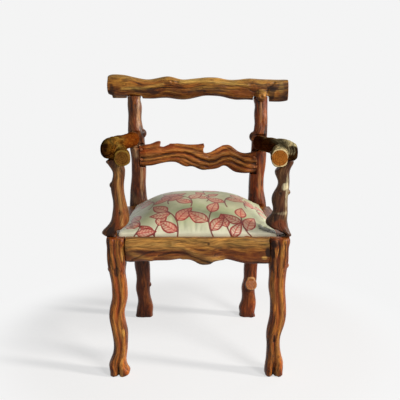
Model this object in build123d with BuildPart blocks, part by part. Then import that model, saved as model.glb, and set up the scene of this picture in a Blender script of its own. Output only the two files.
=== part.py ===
from build123d import *
from math import atan, cos, degrees, exp, pi, radians, sin
import os

os.makedirs("parts", exist_ok=True)

# A rustic armchair of roots and branches with an upholstered slip seat. Millimetres, +Z up.
# The chair faces -Y and stands on Z = 0. "Left" and "right" are as seen from the front, so
# left is -X. The origin lies on the floor under the middle of the whole chair.

# ---------------------------------------------------------------- driving sizes

seat_height = 415.0  # floor to the flat tops of the seat rails and front legs
rail_height = 74.0  # seat rails, top to bottom
arm_rise = 217.0  # seat rail tops to the shoulders of the arm supports
slat_rise = 172.0  # seat rail tops to the middle of the back slat
post_rise = 370.0  # seat rail tops to the shoulders under the crest rail
crest_length = 621.0
front_leg_spacing = 458.0  # centre to centre
post_spacing = 408.0  # centre to centre at the seat
frame_depth = 430.0  # front leg centre to post centre at the seat
arm_overhang = 30.0  # sawn arm face in front of the front leg centres
back_rake = 62.0  # how far the posts lean back between seat and crest
foot_kick = 17.0  # how far the rear feet stand behind the post centres
crest_setback = 3.0  # crest rail centre behind the tops of the posts
crest_half_depth = 25.0
lean_power = 1.3  # how late the posts' lean comes on: 1 is straight

shoulder_inset = 28.0  # centre of a leg to the flat chiselled for a rail across the chair
leg_rear_flat = 27.0  # centre of a front leg to the flat for the side rail
post_front_flat = 25.0  # centre of a post to the flat for the side rail
arm_flat_inset = 14.0  # centre of a post to the flat for the arm, at the arm's height
slat_thickness = 22.0
slat_forward = 5.0  # back of the slat in front of the post centres
slat_lap = 3.0  # how far the slat laps past the post's inner quarter
side_rail_half_width = 26.0
side_rail_inner = 198.0  # centre of the chair to the flat inner faces of the side rails
cross_rail_half_depth = 23.0  # front rail
rear_rail_half_depth = 18.0
flat_relief = 6.0  # a chiselled flat runs this far past the rail that meets it

tenon_thickness = 12.0
tenon_height = 30.0
tenon_drop = 52.0  # rail tops to the middle of the rail tenons
tenon_length = 24.0
round_tenon_radius = 9.0
round_tenon_length = 28.0
arm_tenon_length = 24.0
crest_tenon_radius = 11.0
crest_tenon_length = 34.0
peg_radius = 4.0
peg_proud = 2.0  # a peg's head stands this far out of the wood
fit = 0.15  # clearance all round a tenon, peg or screw in its hole
bottoming = 1.0  # a blind hole is this much deeper than what goes in it

seat_front_half_width = 222.0
seat_rear_half_width = 208.0  # just in front of the posts
seat_front_setback = 1.0  # front edge of the seat behind the leg centres
seat_back_reach = 3.0  # rear edge of the seat behind the post centres
seat_drop = 16.0  # depth of the rebate in the rails that the seat lies in
seat_crown = 78.0  # rail tops to the crown of the seat
seat_side_height = 8.0  # upright edge of the seat above the rails before it turns into the dome
seat_side_fullness = 3.2  # how square the dome is from side to side
seat_side_fall = 1.2  # how slowly it rises from its side edges: 0 is upright
seat_front_fullness = 2.3  # the same, from front to back
seat_front_fall = 0.85
rebate_gap = 0.8  # seat to the sides of its rebate
post_gap = 4.0  # cushion to post, at the notched rear corners
support_gap = 2.0  # arm support to the edge of the seat's rebate
cover_thickness = 1.6
cover_hem = 24.0  # how far the cover is turned in under the seat frame
lining_thickness = 1.0
lining_inset = 8.0
bar_width = 58.0
bar_thickness = 18.0
side_bar_width = 32.0  # beside the notches for the posts
bar_tenon_thickness = 8.0
bar_tenon_width = 28.0
bar_tenon_length = 25.0
soft_gap = 0.3  # air between the upholstery's layers and the wood they wrap
web_width = 50.0
web_thickness = 1.5
web_count = 4
web_edge = 18.0  # cut end of a web from the outside of the seat frame
web_spread = 0.62  # share of the frame's depth that the crosswise webs spread over
web_flat = 1.0  # a woven web runs level this far past the web it crosses
web_ramp = 6.0  # and is back at its own height this far past it
hessian_thickness = 1.0
hessian_margin = 20.0  # edge of the hessian inside the edge of the seat frame
stuffing_margin = 12.0

block_reach_x = 60.0  # corner block along the front and rear rails
block_reach_y = 74.0  # corner block along the side rails
block_height = 32.0
block_screw_drop = 16.0  # rail tops to the screws that hold the corner blocks
screw_radius = 2.0
screw_head_radius = 4.0
screw_head_height = 3.0
screw_bore = 5.0  # radius of the recess that a screw's head goes down
block_screw_wood = 12.0  # wood left under the head of a corner block screw
block_screw_bite = 20.0  # how far it goes into the rail
seat_screw_bite = 15.0  # how far a seat screw goes into the seat frame
seat_screw_recess = 12.0
seat_screw_inset = 16.0  # seat screws from the inner faces of the legs
tack_radius = 0.8
tack_head_radius = 3.0
tack_head_height = 1.0
tack_length = 11.0
tacks_across_web = 3
tack_margin = 8.0  # tacks from the cut end of the web

spare = 60.0  # how far a cutting box reaches past what it cuts
ring_points = 12  # points round one section of a branch
section_pitch = 26.0  # sections along a branch
slat_pitch = 16.0  # closer along the back slat, whose outline turns more sharply
furrow_spread = 24.0  # degrees of a section's outline that a furrow takes

# ---------------------------------------------------------------- places worked out from them

half_total_depth = (arm_overhang + frame_depth + back_rake + crest_setback + crest_half_depth) / 2
arm_face_y = -half_total_depth
front_leg_y = arm_face_y + arm_overhang
post_y = front_leg_y + frame_depth
crest_y = post_y + back_rake + crest_setback
rail_bottom = seat_height - rail_height
tenon_z = seat_height - tenon_drop
arm_shoulder_z = seat_height + arm_rise
post_shoulder_z = seat_height + post_rise
front_leg_x = front_leg_spacing / 2
post_x = post_spacing / 2
front_shoulder_x = front_leg_x - shoulder_inset
rear_shoulder_x = post_x - shoulder_inset
side_rail_front_y = front_leg_y + leg_rear_flat
side_rail_rear_y = post_y - post_front_flat
SIDES = (("left", -1), ("right", 1))


def post_centre_y(height):
    """Where the centre line of a post lies, front to back, at a height above the seat."""
    rise = max(0.0, (height - seat_height) / post_rise)
    return post_y + back_rake * rise**lean_power


slat_z = seat_height + slat_rise
slat_lean = degrees(atan((post_centre_y(slat_z + 1) - post_centre_y(slat_z - 1)) / 2))
slat_back = Plane(
    origin=(0, post_centre_y(slat_z) - slat_forward, slat_z),
    x_dir=(1, 0, 0),
    z_dir=(0, -cos(radians(slat_lean)), sin(radians(slat_lean))),
)


# ---------------------------------------------------------------- how a branch is made


def ring(plane, half_width, half_height, squareness=2.4, furrow=0.0, furrow_at=270):
    """One section of a branch: a smooth closed outline, squarer than an ellipse as squareness
    grows, with a furrow of that share of its size at an angle, the bottom of the plane if none."""
    points = []
    for step in range(ring_points):
        angle = 360 * step / ring_points
        across, up = cos(radians(angle)), sin(radians(angle))
        reach = (abs(across) ** squareness + abs(up) ** squareness) ** (-1 / squareness)
        reach *= 1 - furrow * exp(-(((angle - furrow_at) / furrow_spread) ** 2))
        points.append((half_width * reach * across, half_height * reach * up))
    with BuildSketch(plane) as outline:
        with BuildLine():
            Spline(*points, periodic=True)
        make_face()
    return outline.sketch


def slope(left, right):
    """Slope of a smooth curve where it goes from one straight run to the next, level at a peak."""
    return 0.0 if left * right <= 0 else 2 * left * right / (left + right)


def evenly(stations, length, pitch=section_pitch):
    """The same branch with its stations a pitch apart, read off curves that run smoothly
    through the given ones and never swing past them. A station's first number is its place."""
    runs = [
        [(high - low) / (after[0] - before[0]) for low, high in zip(before[1:], after[1:])]
        for before, after in zip(stations, stations[1:])
    ]
    slopes = [runs[0]]
    slopes += [[slope(a, b) for a, b in zip(left, right)] for left, right in zip(runs, runs[1:])]
    slopes.append(runs[-1])
    first, last = stations[0][0], stations[-1][0]
    count = max(2, round(length / pitch))
    result = []
    for step in range(count + 1):
        place = first + (last - first) * step / count
        index = max(i for i in range(len(runs)) if stations[i][0] <= place + 1e-9)
        span = stations[index + 1][0] - stations[index][0]
        t = (place - stations[index][0]) / span
        values = [
            (2 * t**3 - 3 * t**2 + 1) * low
            + (t**3 - 2 * t**2 + t) * span * slope_low
            + (3 * t**2 - 2 * t**3) * high
            + (t**3 - t**2) * span * slope_high
            for low, high, slope_low, slope_high in zip(
                stations[index][1:], stations[index + 1][1:], slopes[index], slopes[index + 1]
            )
        ]
        result.append([place] + values)
    return result


def upright(stations, x, centre_y, base, height):
    """Lofts a standing limb through stations of (share of its height, sideways bend,
    fore-and-aft bend, half width, half depth, squareness, furrow in its front)."""
    sections = []
    for share, bend_x, bend_y, half_width, half_depth, squareness, furrow in evenly(stations, height):
        z = base + share * height
        plane = Plane(origin=(x + bend_x, centre_y(z) + bend_y, z), z_dir=(0, 0, 1))
        sections.append(ring(plane, half_width, half_depth, squareness, furrow))
    loft(sections=sections)


def crosswise(stations, half_length, y, base, squareness=2.4):
    """Lofts a limb that lies across the chair through stations of (share of its half length,
    bottom and top from the base height, fore-and-aft bend, half depth, furrow in its front)."""
    sections = []
    for share, bottom, top, bend_y, half_depth, furrow in evenly(stations, 2 * half_length):
        centre = (share * half_length, y + bend_y, base + (bottom + top) / 2)
        plane = Plane(origin=centre, x_dir=(0, 1, 0), z_dir=(1, 0, 0))
        sections.append(ring(plane, half_depth, (top - bottom) / 2, squareness, furrow, 180))
    loft(sections=sections)


def lengthwise(stations, x, rear_y, front_y, base, squareness=2.4):
    """Lofts a limb that runs from the back to the front through stations of (share of its
    length, sideways bend, height from the base, half width, half height)."""
    sections = []
    for share, bend_x, rise, half_width, half_height in evenly(stations, rear_y - front_y):
        centre = (x + bend_x, rear_y + share * (front_y - rear_y), base + rise)
        plane = Plane(origin=centre, x_dir=(1, 0, 0), z_dir=(0, -1, 0))
        sections.append(ring(plane, half_width, half_height, squareness))
    loft(sections=sections)


def block(x, y, z):
    """A box between two limits on each axis."""
    centre = ((x[0] + x[1]) / 2, (y[0] + y[1]) / 2, (z[0] + z[1]) / 2)
    with Locations(centre):
        Box(abs(x[1] - x[0]), abs(y[1] - y[0]), abs(z[1] - z[0]))


def rod(start, direction, length, radius, mode=Mode.ADD):
    """A cylinder from a point along a direction."""
    with Locations(Plane(origin=start, z_dir=direction).location):
        Cylinder(radius, length, align=(Align.CENTER, Align.CENTER, Align.MIN), mode=mode)


def bore(start, direction, length, radius):
    """The space that the hole for a rod takes, with its clearance and room at the bottom."""
    rod(start, direction, length + bottoming, radius + fit)


def knot(centre, radius):
    """A round swelling on a branch."""
    with Locations(centre):
        Sphere(radius)


def sawn_stub(start, direction, length, root_radius, end_radius):
    """A short side branch, sawn off square."""
    with Locations(Plane(origin=start, z_dir=direction).location):
        Cone(root_radius, end_radius, length, align=(Align.CENTER, Align.CENTER, Align.MIN))


def save(piece, label):
    """Names a finished piece and writes it out."""
    piece.part.label = label
    export_step(piece.part, f"parts/{label}.step")


# ---------------------------------------------------------------- rail joints
# A rail tenon is (x limits, y limits); all of them share one height.

tenon_low = tenon_z - tenon_height / 2
tenon_high = tenon_z + tenon_height / 2
half_tenon = tenon_thickness / 2
front_side_tenon_x = front_leg_x + 8.0  # side rail tenons in the front legs
rear_side_tenon_x = side_rail_inner + 18.0  # side rail tenons in the posts


def front_rail_tenon(side):
    """Limits of the front rail's tenon in a front leg."""
    x = (side * (front_shoulder_x - 1), side * (front_shoulder_x + tenon_length))
    return x, (front_leg_y - half_tenon, front_leg_y + half_tenon)


def rear_rail_tenon(side):
    """Limits of the rear rail's tenon in a post."""
    x = (side * (rear_shoulder_x - 1), side * (rear_shoulder_x + tenon_length))
    return x, (post_y - half_tenon, post_y + half_tenon)


def side_front_tenon(side):
    """Limits of a side rail's tenon in a front leg."""
    x = (side * (front_side_tenon_x - half_tenon), side * (front_side_tenon_x + half_tenon))
    return x, (side_rail_front_y - tenon_length, side_rail_front_y + 1)


def side_rear_tenon(side):
    """Limits of a side rail's tenon in a post."""
    x = (side * (rear_side_tenon_x - half_tenon), side * (rear_side_tenon_x + half_tenon))
    return x, (side_rail_rear_y - 1, side_rail_rear_y + tenon_length)


def tenon(limits):
    """Adds a rail tenon."""
    block(limits[0], limits[1], (tenon_low, tenon_high))


def mortise(limits, deepen_x, deepen_y):
    """The space of a rail tenon's mortise, deeper along the way the tenon goes in."""
    (x0, x1), (y0, y1) = sorted(limits[0]), sorted(limits[1])
    x = (x0 - max(fit, -deepen_x), x1 + max(fit, deepen_x))
    y = (y0 - max(fit, -deepen_y), y1 + max(fit, deepen_y))
    block(x, y, (tenon_low - fit, tenon_high + fit))


rail_peg_reach = 8.0  # shoulder to the middle of the peg that pins a rail tenon
cross_peg_length = 38.0  # pegs of the front and rear rails
side_peg_length = 34.0
leg_reach = {-1: 23.5, 1: 26.0}  # centre of each front leg to its outer side at the rails
post_seat_half_width = 33.0  # of a post at its rails
post_seat_half_depth = 28.5


def seat_rail_pegs_at(side):
    """Start, direction and length of the pegs of one side's four rail tenons: front rail, side
    rail in the leg, rear rail, side rail in the post."""
    front_x = side * (front_shoulder_x + rail_peg_reach)
    leg_x = side * (front_leg_x + leg_reach[side] + peg_proud)
    rear_x = side * (rear_shoulder_x + rail_peg_reach)
    post_side_x = side * (post_x + post_seat_half_width + peg_proud)
    post_rear_y = post_y + post_seat_half_depth + peg_proud
    inward = (-side, 0, 0)
    return (
        ((front_x, side_rail_front_y, tenon_z), (0, -1, 0), cross_peg_length),
        ((leg_x, side_rail_front_y - rail_peg_reach, tenon_z), inward, side_peg_length),
        ((rear_x, post_rear_y, tenon_z), (0, -1, 0), cross_peg_length),
        ((post_side_x, side_rail_rear_y + rail_peg_reach, tenon_z), inward, side_peg_length),
    )


support_foot_shift = 8.0  # arm support outside the centre of its leg


def support_foot(side):
    """Where the round tenon of an arm support enters the top of a front leg."""
    return (side * (front_leg_x + support_foot_shift), front_leg_y + 6.0, seat_height)


# ---------------------------------------------------------------- the seat's outline

seat_front_y = front_leg_y + seat_front_setback
seat_rear_y = post_y + seat_back_reach
seat_notch_x = rear_shoulder_x - post_gap
seat_notch_y = side_rail_rear_y - post_gap - 3.0
rebate_z = seat_height - seat_drop


def seat_width_at(y):
    """Half the width of the seat at a distance from its front, in front of the posts."""
    share = (y - seat_front_y) / (seat_notch_y - seat_front_y)
    return seat_front_half_width + (seat_rear_half_width - seat_front_half_width) * share


def seat_outline(inset):
    """Corners of the seat's outline, that far inside it all round."""
    front, rear = seat_front_y + inset, seat_rear_y - inset
    step_x, step_y = seat_notch_x - inset, seat_notch_y - inset
    right = [
        (seat_width_at(front) - inset, front),
        (seat_width_at(step_y) - inset, step_y),
        (step_x, step_y),
        (step_x, rear),
    ]
    return right + [(-x, y) for x, y in reversed(right)]


def slab(corners, low, high, mode=Mode.ADD):
    """A flat piece with those corners in plan."""
    with BuildSketch(Plane.XY.offset(low)) as plan:
        with BuildLine():
            Polyline(*corners, close=True)
        make_face()
    extrude(plan.sketch, amount=high - low, mode=mode)


with BuildPart() as seat_rebate:
    slab(seat_outline(-rebate_gap), rebate_z, seat_height + 10)

# ---------------------------------------------------------------- front legs
# Height share, sideways bend, fore-and-aft bend, half width, half depth, squareness, furrow.

FRONT_LEG_STATIONS = {
    "left": (
        (0.000, -0.5, 1.0, 26.0, 26.0, 2.6, 0.26),
        (0.060, -1.5, 0.5, 27.0, 27.0, 2.6, 0.24),
        (0.108, -1.5, 0.0, 23.5, 24.0, 2.4, 0.18),
        (0.160, 4.5, 0.0, 20.0, 22.0, 2.4, 0.14),
        (0.240, 7.0, 1.0, 21.0, 23.0, 2.4, 0.14),
        (0.333, 5.0, 2.0, 23.5, 24.0, 2.4, 0.15),
        (0.420, -2.0, 2.0, 23.5, 24.0, 2.4, 0.15),
        (0.508, 2.0, 1.0, 23.0, 23.5, 2.4, 0.15),
        (0.580, 8.5, -1.0, 22.0, 23.0, 2.4, 0.14),
        (0.660, 7.5, -1.0, 22.0, 23.5, 2.4, 0.14),
        (0.725, 4.0, 0.0, 21.5, 24.0, 2.4, 0.10),
        (0.775, 2.0, 1.0, 23.5, 26.5, 2.6, 0.06),
        (0.825, 3.0, 1.0, 26.0, 29.0, 3.4, 0.04),
        (0.910, 3.5, 1.0, 27.0, 29.0, 4.0, 0.04),
        (1.000, 3.5, 1.0, 27.0, 29.0, 4.0, 0.04),
    ),
    "right": (
        (0.000, -7.5, 1.0, 26.5, 26.0, 2.6, 0.26),
        (0.060, -6.5, 0.5, 26.5, 27.0, 2.6, 0.24),
        (0.108, -7.0, 0.0, 24.5, 24.0, 2.4, 0.18),
        (0.165, -9.0, 0.0, 20.5, 22.0, 2.4, 0.14),
        (0.215, -10.5, 1.0, 19.5, 22.0, 2.4, 0.14),
        (0.280, -11.0, 2.0, 21.0, 23.0, 2.4, 0.15),
        (0.350, -5.0, 2.0, 24.0, 24.0, 2.4, 0.15),
        (0.450, 1.5, 1.0, 23.5, 23.5, 2.4, 0.15),
        (0.540, 0.5, 0.0, 22.5, 23.0, 2.4, 0.14),
        (0.650, -4.0, -1.0, 24.0, 23.5, 2.4, 0.14),
        (0.725, -4.0, 0.0, 23.5, 24.0, 2.4, 0.10),
        (0.775, -1.5, 1.0, 25.0, 26.5, 2.6, 0.06),
        (0.825, -2.0, 1.0, 27.0, 29.0, 3.4, 0.04),
        (0.910, -2.0, 1.0, 28.0, 29.0, 4.0, 0.04),
        (1.000, -2.0, 1.0, 28.0, 29.0, 4.0, 0.04),
    ),
}
# Height share, way out from the centre (-1 or 1 along X), how far, fore-and-aft, radius.
FRONT_LEG_KNOTS = {
    "left": ((0.775, -1, 15.0, -6.0, 9.0), (0.46, -1, 16.0, 4.0, 9.0)),
    "right": ((0.800, 1, 18.0, -4.0, 9.0), (0.33, -1, 18.0, -4.0, 9.0)),
}

for name, side in SIDES:
    leg_x = side * front_leg_x
    with BuildPart() as leg_cuts:
        flat_z = (rail_bottom - flat_relief, seat_height + 1)
        block((side * front_shoulder_x, 0), (front_leg_y - spare, front_leg_y + spare), flat_z)
        leg_width = (leg_x - spare, leg_x + spare)
        block(leg_width, (side_rail_front_y, side_rail_front_y + spare), flat_z)
        mortise(front_rail_tenon(side), side * bottoming, 0)
        mortise(side_front_tenon(side), 0, -bottoming)
        for start, direction, length in seat_rail_pegs_at(side)[:2]:
            bore(start, direction, length, peg_radius)
        bore(support_foot(side), (0, 0, -1), round_tenon_length, round_tenon_radius)
        add(seat_rebate.part)
    with BuildPart() as front_leg:
        upright(FRONT_LEG_STATIONS[name], leg_x, lambda z: front_leg_y, 0, seat_height)
        for share, way, out, forward, radius in FRONT_LEG_KNOTS[name]:
            knot((leg_x + way * out, front_leg_y + forward, share * seat_height), radius)
        add(leg_cuts.part, mode=Mode.SUBTRACT)
    save(front_leg, f"front_leg_{name}")

# ---------------------------------------------------------------- rear legs with the back posts
# The same seven numbers, with the height share 0 to 1 below the seat and 1 to 2 above it.

POST_STATIONS = {
    "left": (
        (0.000, 9.0, 0.0, 32.0, 27.0, 2.6, 0.10),
        (0.080, 12.0, 0.0, 30.0, 26.5, 2.6, 0.08),
        (0.130, 12.0, 0.0, 26.0, 24.0, 2.4, 0.04),
        (0.200, 8.0, 0.0, 24.0, 23.5, 2.4, 0.0),
        (0.270, 6.0, 0.5, 25.5, 24.0, 2.4, 0.0),
        (0.360, 8.5, 0.0, 24.5, 24.0, 2.4, 0.0),
        (0.450, 5.5, 0.0, 27.0, 24.5, 2.4, 0.0),
        (0.600, 3.0, 1.0, 25.5, 25.0, 2.4, 0.0),
        (0.740, 0.0, 1.0, 27.5, 26.0, 2.6, 0.0),
        (0.830, -1.0, 0.5, 32.0, 28.0, 4.0, 0.0),
        (1.000, -1.0, 0.5, 32.0, 28.0, 4.0, 0.0),
        (1.070, -3.0, 0.0, 29.0, 27.0, 2.8, 0.0),
        (1.150, -4.0, 0.0, 27.0, 25.5, 2.4, 0.0),
        (1.260, -1.5, 0.0, 25.5, 24.5, 2.4, 0.0),
        (1.390, -1.0, 0.0, 25.5, 24.5, 2.6, 0.0),
        (1.500, -4.0, 0.0, 26.5, 24.5, 2.6, 0.0),
        (1.610, -9.0, 0.0, 28.0, 24.5, 2.6, 0.0),
        (1.700, -11.5, 0.0, 28.0, 24.5, 2.4, 0.0),
        (1.770, -15.5, 0.0, 23.0, 23.5, 2.4, 0.0),
        (1.860, -15.0, 0.0, 24.0, 23.0, 2.6, 0.0),
        (1.940, -16.0, 0.0, 23.5, 22.0, 3.2, 0.0),
        (2.000, -16.0, 0.0, 24.0, 22.0, 3.6, 0.0),
    ),
    "right": (
        (0.000, -26.0, 0.0, 30.5, 27.0, 2.6, 0.10),
        (0.080, -26.5, 0.0, 30.0, 26.5, 2.6, 0.08),
        (0.130, -22.0, 0.0, 28.0, 24.0, 2.4, 0.04),
        (0.180, -21.5, 0.0, 24.5, 23.5, 2.4, 0.0),
        (0.230, -24.5, 0.0, 24.5, 23.5, 2.4, 0.0),
        (0.290, -22.5, 0.0, 25.0, 24.0, 2.4, 0.0),
        (0.355, -17.0, 0.0, 24.0, 24.0, 2.4, 0.0),
        (0.430, -17.5, 0.0, 25.5, 24.5, 2.4, 0.0),
        (0.580, -10.0, 1.0, 25.0, 25.0, 2.4, 0.0),
        (0.740, -2.0, 1.0, 27.5, 26.0, 2.6, 0.0),
        (0.830, 1.0, 0.5, 32.0, 28.0, 4.0, 0.0),
        (1.000, 1.0, 0.5, 32.0, 28.0, 4.0, 0.0),
        (1.070, -0.5, 0.0, 29.5, 27.0, 2.8, 0.0),
        (1.150, -3.0, 0.0, 27.0, 25.5, 2.4, 0.0),
        (1.260, -1.0, 0.0, 27.0, 24.5, 2.4, 0.0),
        (1.390, 4.5, 0.0, 27.5, 24.5, 2.6, 0.0),
        (1.520, 7.0, 0.0, 26.5, 24.5, 2.6, 0.0),
        (1.630, 9.0, 0.0, 26.0, 24.5, 2.6, 0.0),
        (1.715, 14.0, 0.0, 23.0, 23.5, 2.4, 0.0),
        (1.800, 13.5, 0.0, 23.5, 23.0, 2.4, 0.0),
        (1.900, 13.5, 0.0, 23.0, 22.5, 2.6, 0.0),
        (2.000, 14.0, 0.0, 23.5, 22.0, 3.4, 0.0),
    ),
}
post_top_half = 25.0  # half width of the notch that a post's top fills in the crest rail
post_top_x = {"left": -post_x - 16.0, "right": post_x + 14.0}


def post_height(share):
    """Height of a station on a post."""
    return share * seat_height if share <= 1 else seat_height + (share - 1) * post_rise


def post_sections(stations, x):
    """Sections of a post: the foot is kicked back, the upper half leans back."""
    sections = []
    even_stations = evenly(stations, seat_height + post_rise)
    for share, bend_x, bend_y, half_width, half_depth, squareness, furrow in even_stations:
        z = post_height(share)
        kick = foot_kick * max(0.0, 1 - share) ** 2
        y = post_centre_y(z) + kick + bend_y
        plane = Plane(origin=(x + bend_x, y, z), z_dir=(0, 0, 1))
        sections.append(ring(plane, half_width, half_depth, squareness, furrow))
    return sections


# Where each arm meets its post: sideways and height of the arm's centre there.
ARM_END = {
    "left": (-front_leg_x + 3.0, arm_shoulder_z + 9.0),
    "right": (front_leg_x - 15.0, arm_shoulder_z - 2.0),
}
arm_end_half_height = 26.0
arm_end_y = post_centre_y(arm_shoulder_z) - arm_flat_inset
# Reach of the slat's housing below and above the slat's middle, and its pegs' heights there.
SLAT_HOUSING = {"left": (-42.0, 38.0), "right": (-67.0, 19.0)}
SLAT_PEG_RISES = {"left": (-17.0, 17.0), "right": (-42.0, -10.0)}
slat_inner = post_x - 24.0  # the post's inner face at the slat
slat_end_x = slat_inner + 18.0 + slat_lap
slat_peg_x = slat_end_x - 8.0
slat_peg_length = 36.0
arm_peg_length = 46.0
crest_peg_length = 42.0


def slat_pegs_at(name, side):
    """Start, direction and length of the pegs through one end of the back slat."""
    pegs = []
    for up in SLAT_PEG_RISES[name]:
        out = slat_thickness + peg_proud
        start = slat_back.from_local_coords((side * slat_peg_x, up, out))
        pegs.append((start, -slat_back.z_dir, slat_peg_length))
    return pegs


def crest_tenon_foot(name):
    """Middle of the shoulder that a post's crest tenon stands on."""
    return (post_top_x[name], crest_y - crest_setback, post_shoulder_z)


def crest_peg_at(name):
    """Start, direction and length of the peg of a crest tenon, driven in from behind."""
    start_y = crest_y + crest_half_depth + peg_proud
    start = (post_top_x[name], start_y, post_shoulder_z + crest_tenon_length / 2)
    return start, (0, -1, 0), crest_peg_length


support_head_shift = {"left": 9.0, "right": 8.5}
# Sideways from the chair's centre: the outside of each post at its arm, and the inside of each
# arm over its support. The pegs of the arm's tenons are driven in there.
POST_OUTSIDE_AT_ARM = {"left": post_x + 36.0, "right": post_x + 34.5}
ARM_INSIDE_AT_HEAD = {"left": front_leg_x - 40.5, "right": front_leg_x - 28.0}


def support_head(name, side):
    """Where the round tenon of an arm support enters its arm."""
    return (side * front_leg_x + support_head_shift[name], front_leg_y + 12.0, arm_shoulder_z)


def arm_pegs_at(name, side):
    """Start, direction and length of the pegs of an arm's two round tenons."""
    head_y = support_head(name, side)[1]
    post_peg_x = side * (POST_OUTSIDE_AT_ARM[name] + peg_proud)
    head_peg_x = side * (ARM_INSIDE_AT_HEAD[name] - peg_proud)
    post_peg = (post_peg_x, arm_end_y + arm_tenon_length / 2, ARM_END[name][1])
    head_peg = (head_peg_x, head_y, arm_shoulder_z + arm_tenon_length * 0.6)
    return (
        (post_peg, (-side, 0, 0), arm_peg_length),
        (head_peg, (side, 0, 0), arm_peg_length),
    )


for name, side in SIDES:
    column_x = side * post_x
    arm_x, arm_z = ARM_END[name]
    with BuildPart() as post_cuts:
        flat_z = (rail_bottom - flat_relief, seat_height + flat_relief)
        block((side * rear_shoulder_x, 0), (post_y - spare, post_y + spare), flat_z)
        column_width = (column_x - spare, column_x + spare)
        block(column_width, (side_rail_rear_y - spare, side_rail_rear_y), flat_z)
        mortise(rear_rail_tenon(side), side * bottoming, 0)
        mortise(side_rear_tenon(side), 0, bottoming)
        for start, direction, length in seat_rail_pegs_at(side)[2:]:
            bore(start, direction, length, peg_radius)
        arm_z_limits = (arm_z - arm_end_half_height - 2, arm_z + arm_end_half_height + 2)
        block(column_width, (arm_end_y - spare, arm_end_y), arm_z_limits)
        bore((arm_x, arm_end_y, arm_z), (0, 1, 0), arm_tenon_length, round_tenon_radius)
        with Locations(slat_back.location):
            block((0, side * (slat_end_x + fit)), SLAT_HOUSING[name], (0, spare))
        for start, direction, length in slat_pegs_at(name, side):
            bore(start, direction, length, peg_radius)
        arm_peg_start, arm_peg_direction, arm_peg_run = arm_pegs_at(name, side)[0]
        bore(arm_peg_start, arm_peg_direction, arm_peg_run, peg_radius)
    with BuildPart() as crest_peg_hole:
        start, direction, length = crest_peg_at(name)
        bore(start, direction, length, peg_radius)
    with BuildPart() as back_post:
        loft(sections=post_sections(POST_STATIONS[name], column_x))
        if name == "left":
            knot((column_x + 27.0, post_y + 8.0, 0.29 * seat_height), 10.0)
            knot((column_x + 10.0, post_centre_y(post_height(1.66)), post_height(1.66)), 17.0)
        else:
            stub_start = (column_x - 20.0, post_y + 6.0, 0.285 * seat_height)
            sawn_stub(stub_start, (0.12, -0.88, 0.42), 32.0, 22.0, 21.0)
            knot((column_x - 8.0, post_centre_y(post_height(1.63)) - 2.0, post_height(1.63)), 19.0)
        add(post_cuts.part, mode=Mode.SUBTRACT)
        rod(crest_tenon_foot(name), (0, 0, 1), crest_tenon_length, crest_tenon_radius)
        add(crest_peg_hole.part, mode=Mode.SUBTRACT)
    save(back_post, f"back_post_{name}")

# ---------------------------------------------------------------- seat rails
# Half length share, bottom, top, fore-and-aft bend, half depth, furrow. The tops are planed flat.

rail_top_waste = 7.0  # the branch stands this much above the planed top
FRONT_RAIL_STATIONS = (
    (-1.000, 0.0, rail_height + rail_top_waste, 0.0, 23.0, 0.0),
    (-0.850, 0.5, rail_height + rail_top_waste, -1.0, 23.5, 0.0),
    (-0.680, 3.0, rail_height + rail_top_waste, 0.0, 22.5, 0.06),
    (-0.400, 6.0, rail_height + rail_top_waste, 1.5, 21.5, 0.06),
    (-0.200, 10.5, rail_height + rail_top_waste, 1.5, 21.5, 0.06),
    (-0.120, 11.0, rail_height + rail_top_waste, 0.5, 22.0, 0.06),
    (-0.040, 2.0, rail_height + rail_top_waste, 0.0, 23.0, 0.06),
    (0.030, -4.0, rail_height + rail_top_waste, -0.5, 23.5, 0.06),
    (0.170, -4.5, rail_height + rail_top_waste, -0.5, 23.5, 0.06),
    (0.240, 4.0, rail_height + rail_top_waste, 0.0, 22.5, 0.06),
    (0.310, 9.5, rail_height + rail_top_waste, 1.0, 21.5, 0.06),
    (0.460, 7.0, rail_height + rail_top_waste, 1.0, 21.5, 0.06),
    (0.640, -1.5, rail_height + rail_top_waste, 0.0, 22.5, 0.06),
    (0.820, -4.0, rail_height + rail_top_waste, 0.0, 23.0, 0.0),
    (1.000, -4.0, rail_height + rail_top_waste, 0.0, 23.0, 0.0),
)
REAR_RAIL_STATIONS = (
    (-1.000, 2.0, rail_height + rail_top_waste, 0.0, 18.0, 0.0),
    (-0.600, 8.0, rail_height + rail_top_waste, 1.0, 17.0, 0.0),
    (-0.200, 3.0, rail_height + rail_top_waste, -1.0, 18.0, 0.0),
    (0.200, 9.0, rail_height + rail_top_waste, 0.5, 17.0, 0.0),
    (0.600, 4.0, rail_height + rail_top_waste, 1.0, 17.5, 0.0),
    (1.000, 2.0, rail_height + rail_top_waste, 0.0, 18.0, 0.0),
)
# Length share from the back, sideways bend, height of the centre over the rail's bottom, half sizes.
side_rail_x = side_rail_inner + side_rail_half_width
side_rail_centre = (rail_height + rail_top_waste) / 2
SIDE_RAIL_STATIONS = (
    (0.00, 0.0, side_rail_centre, side_rail_half_width + 2.0, 40.0),
    (0.16, 2.0, side_rail_centre + 1.0, side_rail_half_width + 3.0, 39.0),
    (0.36, -1.0, side_rail_centre + 4.0, side_rail_half_width + 0.5, 36.0),
    (0.58, 1.0, side_rail_centre + 2.0, side_rail_half_width + 1.0, 38.0),
    (0.80, -1.0, side_rail_centre + 3.0, side_rail_half_width, 37.0),
    (1.00, 0.0, side_rail_centre, side_rail_half_width + 2.0, 40.0),
)
front_rail_back_y = front_leg_y + cross_rail_half_depth - 3.0  # flats for the corner blocks
rear_rail_front_y = post_y - rear_rail_half_depth + 2.0


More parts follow.
